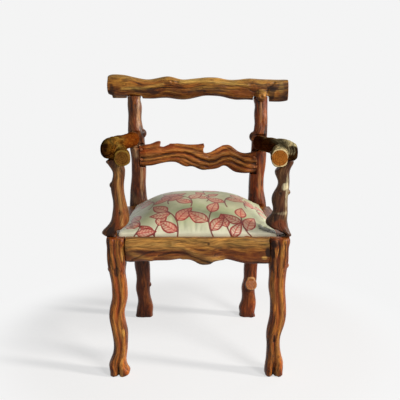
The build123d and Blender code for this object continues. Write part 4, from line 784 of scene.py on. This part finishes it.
def carve_supports():
    """The crooked branches under the arms."""
    for name, seed in (("left", 90), ("right", 100)):
        support = Branch(f"arm_support_{name}", Z, 1.5 * MM)
        support.lumps(22.0, 1.0, seed)
        support.flutes(20.0, 150.0, 1.2, seed + 2)
        support.scattered_knots(3, 7.0, 1.0, seed + 3)
        if name == "left":
            support.front_knot(-219, 487, 7, 1.0, 0.5, 0.9)
            # a painted highlight down the ridge
            support.ridge([(-214, 620), (-216, 560), (-211, 500), (-208, 450)], 5.0, 1.0, 0.7)
            support.patch("shade_and_dark_wood", -240, 432, 18, 20, 0.75, 91)
            support.patch("warm", -212, 470, 16, 40, 0.8, 92)
            # painted shade down the left side
            support.patch("shade_and_dark_wood", -232, 560, 7, 60, 0.45, 93)
        else:
            support.front_knot(222, 540, 9, 1.6, 0.4, 0.8)
            # painted highlights down the right side
            support.patch("pale", 240, 556, 11, 11, 1.0, 101)
            support.patch("pale", 246, 540, 5, 60, 0.5, 106)
            support.patch("pale", 230, 482, 22, 5, 0.25, 102)
            support.patch("warm", 226, 448, 22, 18, 1.0, 103)
            support.patch("shade_and_dark_wood", 232, 424, 14, 7, 0.7, 104)
            # painted shade on the left side
            support.patch("shade_and_dark_wood", 216, 474, 12, 18, 0.5, 105)
        support.redden(0.2, 0.3, (16, 16, 40), seed + 4)
        support.finish(SUPPORT_WOOD[name])


def carve_arms():
    """Log arms, each with a side branch sawn off square at the front."""
    for name, side, seed in (("left", -1, 110), ("right", 1, 120)):
        arm = Branch(f"arm_{name}", Y)
        arm.lumps(28.0, 1.3, seed)
        arm.flutes(22.0, 150.0, 1.3, seed + 2)
        arm.scattered_knots(4, 8.0, 1.2, seed + 3)
        top = smooth(arm.normal[:, Z], 0.1, 0.8)
        outer = smooth(side * arm.place[:, X], 222.0, 252.0)
        ahead = 1 - smooth(arm.place[:, Y], -200.0, 20.0)
        olive = noise(arm.straight / (12, 12, 40), seed + 5)
        # the olive tone of the tops at the front, with painted top light
        arm.mark("pale", (0.45 + 0.5 * olive) * top * ahead)
        if name == "left":
            arm.mark("warm", 0.9 * (1 - ahead) + 0.2 * olive)
            # painted shade on the outer side, away from the key light
            arm.mark("shade_and_dark_wood", 0.75 * outer * ahead * (1 - 0.7 * top))
            arm.sawn_end((0, -1, 0), (-201, -275, 637), 24, 19.0)
        else:
            arm.mark("shade_and_dark_wood", 0.15 * (1 - ahead) + 0.6 * outer * ahead * (1 - top))
            arm.mark("warm", 0.6 * (1 - ahead))
            arm.sawn_end((0, -1, 0), (220, -275, 638), 27, 21.8)
            # scratches: here the ridge's pale mark is their own pale colour
            for x in (247, 254, 261):
                arm.ridge([(x - 3, 668), (x + 1, 654), (x - 2, 646)], 1.6, 0.6, 1.0)
        arm.finish(ARM_WOOD[name])


carve_crest()
carve_slat()
carve_posts()
carve_front_legs()
carve_front_rail()
carve_other_rails()
carve_supports()
carve_arms()

# ---------------- the seat cushion

SEAT_LOW, SEAT_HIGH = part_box("seat_cover")
SEAT_REAR_HALF_WIDTH = 0.208  # beside the posts
SEAT_NOTCH = Vector((0.172, 0.153))  # corner of the notch that clears a post
SEAT_SIDE_TOP = 0.423  # the cover turns from its upright edge into the dome here
SEAT_VOXEL = 4.5 * MM
SEAT_SWELL = 2.0 * MM  # the most that the fabric may move as cloth
SIDE_FULLNESS, SIDE_FALL = 3.2, 1.2
FRONT_FULLNESS, FRONT_FALL = 2.3, 0.85
POST_ROOM = 0.2  # side of the block that is cut away at a post
POST_ROOM_HEIGHT = 0.45  # of its middle
CLOTH = {
    "vertex_group_mass": "held",
    "quality": 5,
    "tension_stiffness": 12,
    "shrink_min": -0.012,
    "use_pressure": True,
    "uniform_pressure_force": 3.0,
}
CLOTH_STEPS = 20

PULLS = 13  # small pulls in a full turn round each corner
PULL_DEPTH, PULL_REACH = 0.5 * MM, 0.03
FRONT_CORNERS = ((-0.222, -0.244), (0.222, -0.244))
# Waves along the lower edge: their depth, metres to a radian, and how far up and down they go.
HEM_DEPTH, HEM_TURN, HEM_WIDTH = 0.25 * MM, 0.0085, 0.012


def seat_half_width(y):
    """Half the width of the seat at a place along it."""
    share = (y - SEAT_LOW.y) / (SEAT_NOTCH.y - SEAT_LOW.y)
    return SEAT_HIGH.x + (SEAT_REAR_HALF_WIDTH - SEAT_HIGH.x) * share


def crown(across, along):
    """Height of the dome for places from -1 to 1 across and along the seat."""
    swell = (1 - np.abs(along) ** FRONT_FULLNESS) ** FRONT_FALL
    rise = (1 - np.abs(across) ** SIDE_FULLNESS) ** SIDE_FALL
    return SEAT_SIDE_TOP + (SEAT_HIGH.z - SEAT_SIDE_TOP) * swell * rise


def dome_solid(count=97):
    """A closed dome on a flat base, its edges packed closer where it turns down."""
    share = np.sin(np.linspace(-pi / 2, pi / 2, count))
    across, along = [grid.ravel() for grid in np.meshgrid(share, share)]
    y = (SEAT_LOW.y + SEAT_HIGH.y) / 2 + along * (SEAT_HIGH.y - SEAT_LOW.y) / 2
    x = across * seat_half_width(y)
    top = np.stack((x, y, crown(across, along)), axis=1)
    base = np.stack((x, y, np.full(len(x), SEAT_LOW.z)), axis=1)
    faces = []
    for row, column in product(range(count - 1), repeat=2):
        a = row * count + column
        quad = (a, a + 1, a + count + 1, a + count)
        faces.append(quad)
        faces.append(tuple(index + count * count for index in reversed(quad)))
    grid = np.arange(count * count).reshape(count, count)
    rim = [*grid[0], *grid[1:, -1], *grid[-1, -2::-1], *grid[-2:0:-1, 0]]
    for a, b in zip(rim, rim[1:] + rim[:1]):
        faces.append((b, a, a + count * count, b + count * count))
    mesh = bpy.data.meshes.new("dome")
    mesh.from_pydata([tuple(point) for point in np.concatenate((top, base))], [], faces)
    return mesh


def notched(mesh):
    """The dome with its rear corners cut away round the posts."""
    dome = placed("dome", mesh)
    cutters = []
    for side in (-1, 1):
        cutter = bmesh.new()
        bmesh.ops.create_cube(cutter, size=POST_ROOM)
        x, y = (corner + POST_ROOM / 2 for corner in SEAT_NOTCH)
        shift = Vector((side * x, y, POST_ROOM_HEIGHT))
        bmesh.ops.translate(cutter, verts=cutter.verts, vec=shift)
        block = bpy.data.meshes.new("post_room")
        cutter.to_mesh(block)
        cutter.free()
        room = placed("post_room", block)
        cut = dome.modifiers.new("post_room", "BOOLEAN")
        cut.operation = "DIFFERENCE"
        cut.solver = "EXACT"
        cut.object = room
        cutters.append(room)
    graph = bpy.context.evaluated_depsgraph_get()
    result = bpy.data.meshes.new_from_object(dome.evaluated_get(graph))
    for leftover in cutters + [dome]:
        bpy.data.objects.remove(leftover)
    return result


def puff(cushion):
    """Lets the fabric swell over its filling as cloth, held round its lower edge."""
    start = read(cushion.data.vertices, "co")
    held = cushion.vertex_groups.new(name="held")
    edge = 1 - smooth(start[:, Z], SEAT_SIDE_TOP - 0.004, SEAT_SIDE_TOP + 0.012)
    for index, weight in enumerate(edge):
        held.add([index], float(weight), "REPLACE")
    cloth = cushion.modifiers.new("cloth", "CLOTH")
    for name, value in CLOTH.items():
        setattr(cloth.settings, name, value)
    cloth.settings.effector_weights.gravity = 0
    scene = bpy.context.scene
    for step in range(1, CLOTH_STEPS + 1):
        scene.frame_set(step)
    graph = bpy.context.evaluated_depsgraph_get()
    swollen = read(cushion.evaluated_get(graph).data.vertices, "co")
    cushion.modifiers.remove(cloth)
    scene.frame_set(1)
    move = swollen - start
    length = np.linalg.norm(move, axis=1, keepdims=True)
    move *= np.minimum(1, SEAT_SWELL / np.maximum(length, 1e-9))
    write(cushion.data.vertices, "co", start + move)
    cushion.data.update()


def fabric_place(points):
    """Where each point of the cushion lies on its flat fabric, in mm from the crown."""
    half_y = (SEAT_HIGH.y - SEAT_LOW.y) / 2
    along = (points[:, Y] - (SEAT_LOW.y + half_y)) / half_y
    across = points[:, X] / seat_half_width(points[:, Y])
    share = np.linspace(0, 1, 200)
    middle = np.zeros(len(share))
    flat = []
    for way, half, rise in (
        (across, SEAT_HIGH.x, crown(share, middle)),
        (along, half_y, crown(middle, share)),
    ):
        arc = np.concatenate(([0], np.cumsum(np.hypot(np.diff(share * half), np.diff(rise)))))
        flat.append(np.sign(way) * np.interp(np.abs(way), share, arc))
    u, v = flat
    below = np.maximum(SEAT_SIDE_TOP - points[:, Z], 0)
    ends = np.abs(along) > np.abs(across)
    u = np.where(ends, u, u + np.sign(across) * below)
    v = np.where(ends, v + np.sign(along) * below, v)
    return np.stack((u, v), axis=1) / MM


# Sprigs of leaves, in mm on the flat fabric: start of the stem, a point that it bends towards,
# its tip, and for each leaf (share along the stem, side, length). Front of the seat is -v.
SPRIGS = (
    ((-88, -98), (-100, -60), (-70, -30), ((0.3, -1, 44), (0.6, 1, 46), (1.0, 0, 46))),
    ((28, -86), (44, -50), (20, -15), ((0.3, 1, 46), (0.6, -1, 46), (1.0, 0, 46))),
    ((150, -92), (138, -50), (160, -20), ((0.3, -1, 46), (0.65, 1, 44), (1.0, 0, 44))),
    ((-118, -268), (-128, -240), (-112, -205), ((0.5, 1, 55), (1.0, 0, 53))),
    ((108, -268), (92, -240), (84, -212), ((0.4, -1, 55), (1.0, 0, 53))),
    ((-60, -262), (-40, -190), (-92, -140),
     ((0.25, 1, 62), (0.55, -1, 70), (0.85, 1, 60), (1.0, 0, 65))),
    ((52, -258), (20, -205), (40, -150), ((0.3, -1, 60), (0.62, 1, 72), (1.0, 0, 62))),
    ((182, -262), (120, -230), (128, -165),
     ((0.22, 1, 55), (0.5, -1, 72), (0.8, 1, 58), (1.0, 0, 60))),
    ((-205, -262), (-150, -220), (-178, -160), ((0.3, -1, 58), (0.65, 1, 67), (1.0, 0, 60))),
    ((-20, -120), (-5, -60), (-62, -22), ((0.2, 1, 60), (0.5, -1, 65), (0.8, 1, 58), (1.0, 0, 65))),
    ((88, -118), (70, -62), (112, -12), ((0.25, 1, 62), (0.55, -1, 60), (1.0, 0, 67))),
    ((-150, -105), (-120, -60), (-160, -8), ((0.3, -1, 62), (0.6, 1, 55), (1.0, 0, 60))),
    ((205, -120), (180, -60), (208, -5), ((0.3, -1, 60), (0.65, 1, 58), (1.0, 0, 60))),
    ((20, 10), (8, 60), (52, 105), ((0.25, -1, 62), (0.55, 1, 65), (0.85, -1, 55), (1.0, 0, 62))),
    ((-92, 30), (-70, 85), (-112, 132), ((0.3, 1, 60), (0.6, -1, 67), (1.0, 0, 60))),
    ((142, 40), (120, 95), (160, 148), ((0.25, -1, 62), (0.6, 1, 60), (1.0, 0, 65))),
    ((-208, 30), (-180, 85), (-205, 140), ((0.3, 1, 58), (0.65, -1, 60), (1.0, 0, 58))),
    ((-30, 140), (-15, 185), (-58, 232), ((0.3, -1, 60), (0.6, 1, 62), (1.0, 0, 60))),
    ((82, 150), (70, 200), (110, 240), ((0.3, 1, 60), (0.6, -1, 60), (1.0, 0, 58))),
)
LEAF_TURN = 52.0  # degrees between a leaf and its stem
LEAF_SLENDER = 0.3008  # a leaf's half width against its length, before it tapers
LEAF_BOW = 3.0  # how far its middle vein bends sideways, in mm
STALK = 5.0
LEAF_LINE = 2.4  # half the width of the room kept round a leaf that lies over another
LEAF_VEINS = 6  # side veins along a leaf
FAR = 99.0  # a distance beyond all lines of the print
LEAF_MAPS = ("leaf_edge", "leaf_stem", "leaf_vein")


def stem_line(start, bend, tip, count=18):
    """Points along a stem, a curve drawn towards its bend."""
    t = np.linspace(0, 1, count)[:, None]
    start, bend, tip = (np.array(point, float) for point in (start, bend, tip))
    return (1 - t) ** 2 * start + 2 * t * (1 - t) * bend + t**2 * tip


def leaf_half_width(share, length):
    """Half the width of a leaf at a share of its length, fullest nearer its stalk."""
    return LEAF_SLENDER * length * np.sin(pi * share**0.82) ** 0.9 * (1 - 0.25 * share)


def print_leaves(places):
    """For each place on the fabric: distance outside the nearest leaf's edge, distance to the
    nearest stem, and distance to the nearest vein of a leaf, all in mm."""
    edge, stem, vein = (np.full(len(places), FAR) for _ in LEAF_MAPS)
    for start, bend, tip, leaves in SPRIGS:
        line = stem_line(start, bend, tip)
        stem = np.minimum(stem, to_line(places, line))
        for share, side, length in leaves:
            index = min(int(share * (len(line) - 1)), len(line) - 2)
            heading = line[index + 1] - line[index]
            angle = np.arctan2(heading[1], heading[0]) + side * np.radians(LEAF_TURN)
            ahead = np.array((np.cos(angle), np.sin(angle)))
            offset = places - (line[index] + STALK * ahead)
            along, across = offset @ ahead, offset @ np.array((-ahead[1], ahead[0]))
            t = np.clip(along / length, 0, 1)
            bowed = across - LEAF_BOW * np.sin(pi * t)
            outside = np.abs(bowed) - leaf_half_width(t, length)
            outside = np.maximum(outside, np.maximum(-along, along - length))
            over = outside < LEAF_LINE
            edge = np.where(over, outside, np.minimum(edge, outside))
            stem = np.where(outside < -LEAF_LINE, FAR, stem)
            inside = (outside < 0) & (t > 0.02)
            pitch = length / LEAF_VEINS
            side_vein = np.abs((along - 0.75 * np.abs(bowed)) % pitch - pitch / 2) * 0.8
            veins = np.minimum(np.abs(bowed), side_vein + 0.35)
            vein = np.where(inside, veins, np.where(over, FAR, vein))
            stem = np.minimum(stem, to_line(places, [line[index], line[index] + STALK * ahead]))
    return edge, stem, vein


# Cells of the noises of its threads and of its shading to a metre, along u and v.
WARP, WEFT, CLOUDS = (1900, 60, 1), (60, 1500, 1), (11, 11, 1)
FRONT_SHEEN = (-0.27, -0.16)  # a painted satin sheen, paler on the front slope, fades out between these places along v, in metres


def satin():
    """Pale sage satin with woven coral leaf sprigs."""
    surface = {"Sheen Weight": 0.15, "Sheen Roughness": 0.4, "Specular IOR Level": 0.5}
    shader = Shader("leaf_satin", surface)
    edge, stem, vein = (shader.attribute(name, "Fac") for name in LEAF_MAPS)
    place = shader.attribute("fabric", "Vector")
    warp, weft = shader.noise(place, WARP), shader.noise(place, WEFT)
    cloud = shader.noise(place, CLOUDS, 3.0)
    ground = shader.mix(shader.spread(cloud, 0.3, 0.7), "9da577", "cdcba6")
    ground = shader.mix(shader.spread(warp, 0.3, 0.7, 0.0, 0.25), ground, "858f63")
    v = shader.add("ShaderNodeSeparateXYZ", {0: place}).outputs["Y"]
    # painted sheen: the ground turns paler cream towards the front edge
    ground = shader.mix(shader.spread(v, *FRONT_SHEEN, 0.75, 0.0), ground, "ebe6d2")
    salmon = shader.mix(shader.spread(weft, 0.35, 0.65), "d98873", "c8614f")
    inside = shader.spread(edge, -0.4, 0.6, 1.0, 0.0)
    filled = shader.times(inside, shader.spread(cloud, 0.38, 0.62, 0.75, 0.4))
    colour = shader.mix(filled, ground, salmon)
    veins = shader.times(shader.spread(vein, 0.9, 2.0, 1.0, 0.0), 0.85)
    colour = shader.mix(veins, colour, "a52a22")
    outline = shader.spread(shader.math("ABSOLUTE", edge), 1.9, 3.0, 1.0, 0.0)
    colour = shader.mix(shader.times(outline, 0.95), colour, "8c1a16")
    line = shader.times(shader.spread(stem, 1.6, 2.6, 1.0, 0.0), 0.95)
    colour = shader.mix(line, colour, "6b1d18")
    roughness = shader.spread(weft, 0.3, 0.7, 0.36, 0.46)
    height = shader.weighted(inside, 0.8, warp, 0.5)
    return shader.finished(colour, roughness, height, 0.4, 0.0005)


def creases(points, normals):
    """How far small pulls round the corners, and waves along the lower edge, move the fabric."""
    push = np.zeros(len(points))
    for corner in (*FRONT_CORNERS, (-SEAT_NOTCH.x, SEAT_NOTCH.y), tuple(SEAT_NOTCH)):
        away = points[:, :2] - corner
        distance = np.linalg.norm(away, axis=1)
        angle = np.arctan2(away[:, 1], away[:, 0])
        push += PULL_DEPTH * np.sin(angle * PULLS) * bell(distance - PULL_REACH, PULL_REACH)
    hem = bell(points[:, Z] - SEAT_SIDE_TOP + 2.0 * MM, HEM_WIDTH)
    push += HEM_DEPTH * np.sin((points[:, X] + points[:, Y]) / HEM_TURN) * hem
    return push * smooth(normals[:, Z], -0.2, 0.3)


def make_cushion():
    """The slip seat's stuffed cover."""
    cushion = finely(notched(dome_solid()), "seat_cushion", SEAT_VOXEL, 4)
    puff(cushion)
    finer = cushion.modifiers.new("finer", "SUBSURF")
    finer.levels = finer.render_levels = 1
    graph = bpy.context.evaluated_depsgraph_get()
    mesh = bpy.data.meshes.new_from_object(cushion.evaluated_get(graph))
    cushion.modifiers.clear()
    cushion.data = mesh
    points, normals = read(mesh.vertices, "co"), read(mesh.vertex_normals, "vector")
    points = points + creases(points, normals)[:, None] * normals
    points[:, Z] = np.maximum(points[:, Z], SEAT_LOW.z)
    write(mesh.vertices, "co", points)
    places = fabric_place(points)
    for name, values in zip(LEAF_MAPS, print_leaves(places)):
        store(mesh, name, "FLOAT", "value", values)
    flat = np.concatenate((places * MM, np.zeros((len(places), 1))), axis=1)
    store(mesh, "fabric", "FLOAT_VECTOR", "vector", flat)
    mesh.update()
    mesh.shade_smooth()
    mesh.materials.clear()
    mesh.materials.append(satin())
    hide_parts("seat_cover")
    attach(cushion, "root")


make_cushion()

# ---------------- the pieces left as in the CAD


def plain_wood(name, dark, light, cells):
    """Planed or turned wood with straight grain."""
    shader = Shader(name)
    grain = shader.noise(shader.object_place(), cells, 4.0, 0.6, 0.3)
    colour = shader.ramp(grain, [(0.35, dark), (0.65, light)])
    roughness = shader.spread(grain, 0.3, 0.7, 0.65, 0.5)
    return shader.finished(colour, roughness, grain, 0.3, 0.0006)


def steel():
    """Bright screw steel with fine turning marks."""
    shader = Shader("steel", {"Metallic": 1.0})
    marks = shader.noise(shader.object_place(), 900.0)
    colour = shader.ramp(marks, [(0.3, "8f9092"), (0.7, "c9c9cb")])
    roughness = shader.spread(marks, 0.3, 0.7, 0.28, 0.42)
    return shader.finished(colour, roughness, marks, 0.1, 0.0002)


WAVE_LENGTH = 0.31  # between the bands of a wave texture at a scale of 1


def woven(name, dark, light, thread):
    """Coarse plain weave: threads one way and the other, in relief."""
    shader = Shader(name, {"Sheen Weight": 0.15})
    place = shader.object_place()
    waves = []
    for direction in ("X", "Y"):
        settings = {"wave_type": "BANDS", "bands_direction": direction, "wave_profile": "SIN"}
        inputs = {"Vector": place, "Scale": WAVE_LENGTH / thread, "Distortion": 0.6, "Detail": 1.0}
        waves.append(shader.add("ShaderNodeTexWave", inputs, **settings).outputs[1])
    fuzz = shader.noise(place, 700.0, 3.0)
    level = shader.weighted(shader.math("MAXIMUM", *waves), 0.7, fuzz, 0.3)
    colour = shader.ramp(level, [(0.3, dark), (0.8, light)])
    roughness = shader.spread(fuzz, 0.3, 0.7, 0.85, 0.95)
    return shader.finished(colour, roughness, level, 0.5, 0.0008)


def finish_cad_nodes():
    """Gives each CAD node that stays in view its own finish."""
    pegs = plain_wood("peg_wood", "2a170c", "5b3a20", 260)
    bars = plain_wood("frame_wood", "a9834f", "d6b684", (30, 160, 160))
    bar_nodes = (f"seat_frame_{side}" for side in ("front", "rear", "left", "right"))
    webbing = woven("jute_webbing", "6d5531", "b59763", 0.0022)
    finishes = {
        pegs: ("seat_rail_pegs", "arm_pegs", "crest_pegs"),
        plain_wood("slat_peg_wood", "7a3f1c", "a8632f", 260): ("slat_pegs",),
        bars: ("corner_blocks", *bar_nodes),
        steel(): ("corner_block_screws", "seat_screws", "upholstery_tacks"),
        webbing: ("webbing_lengthwise", "webbing_crosswise"),
        woven("hessian_cloth", "77603a", "bd9f6c", 0.0016): ("hessian",),
        woven("wadding", "a79d86", "ded6c2", 0.004): ("seat_stuffing",),
        woven("bottoming_cloth", "0b0b0b", "2a2a2a", 0.0012): ("dust_cover",),
    }
    for material, names in finishes.items():
        for name in names:
            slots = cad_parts[name].data.materials
            slots.clear()
            slots.append(material)


finish_cad_nodes()
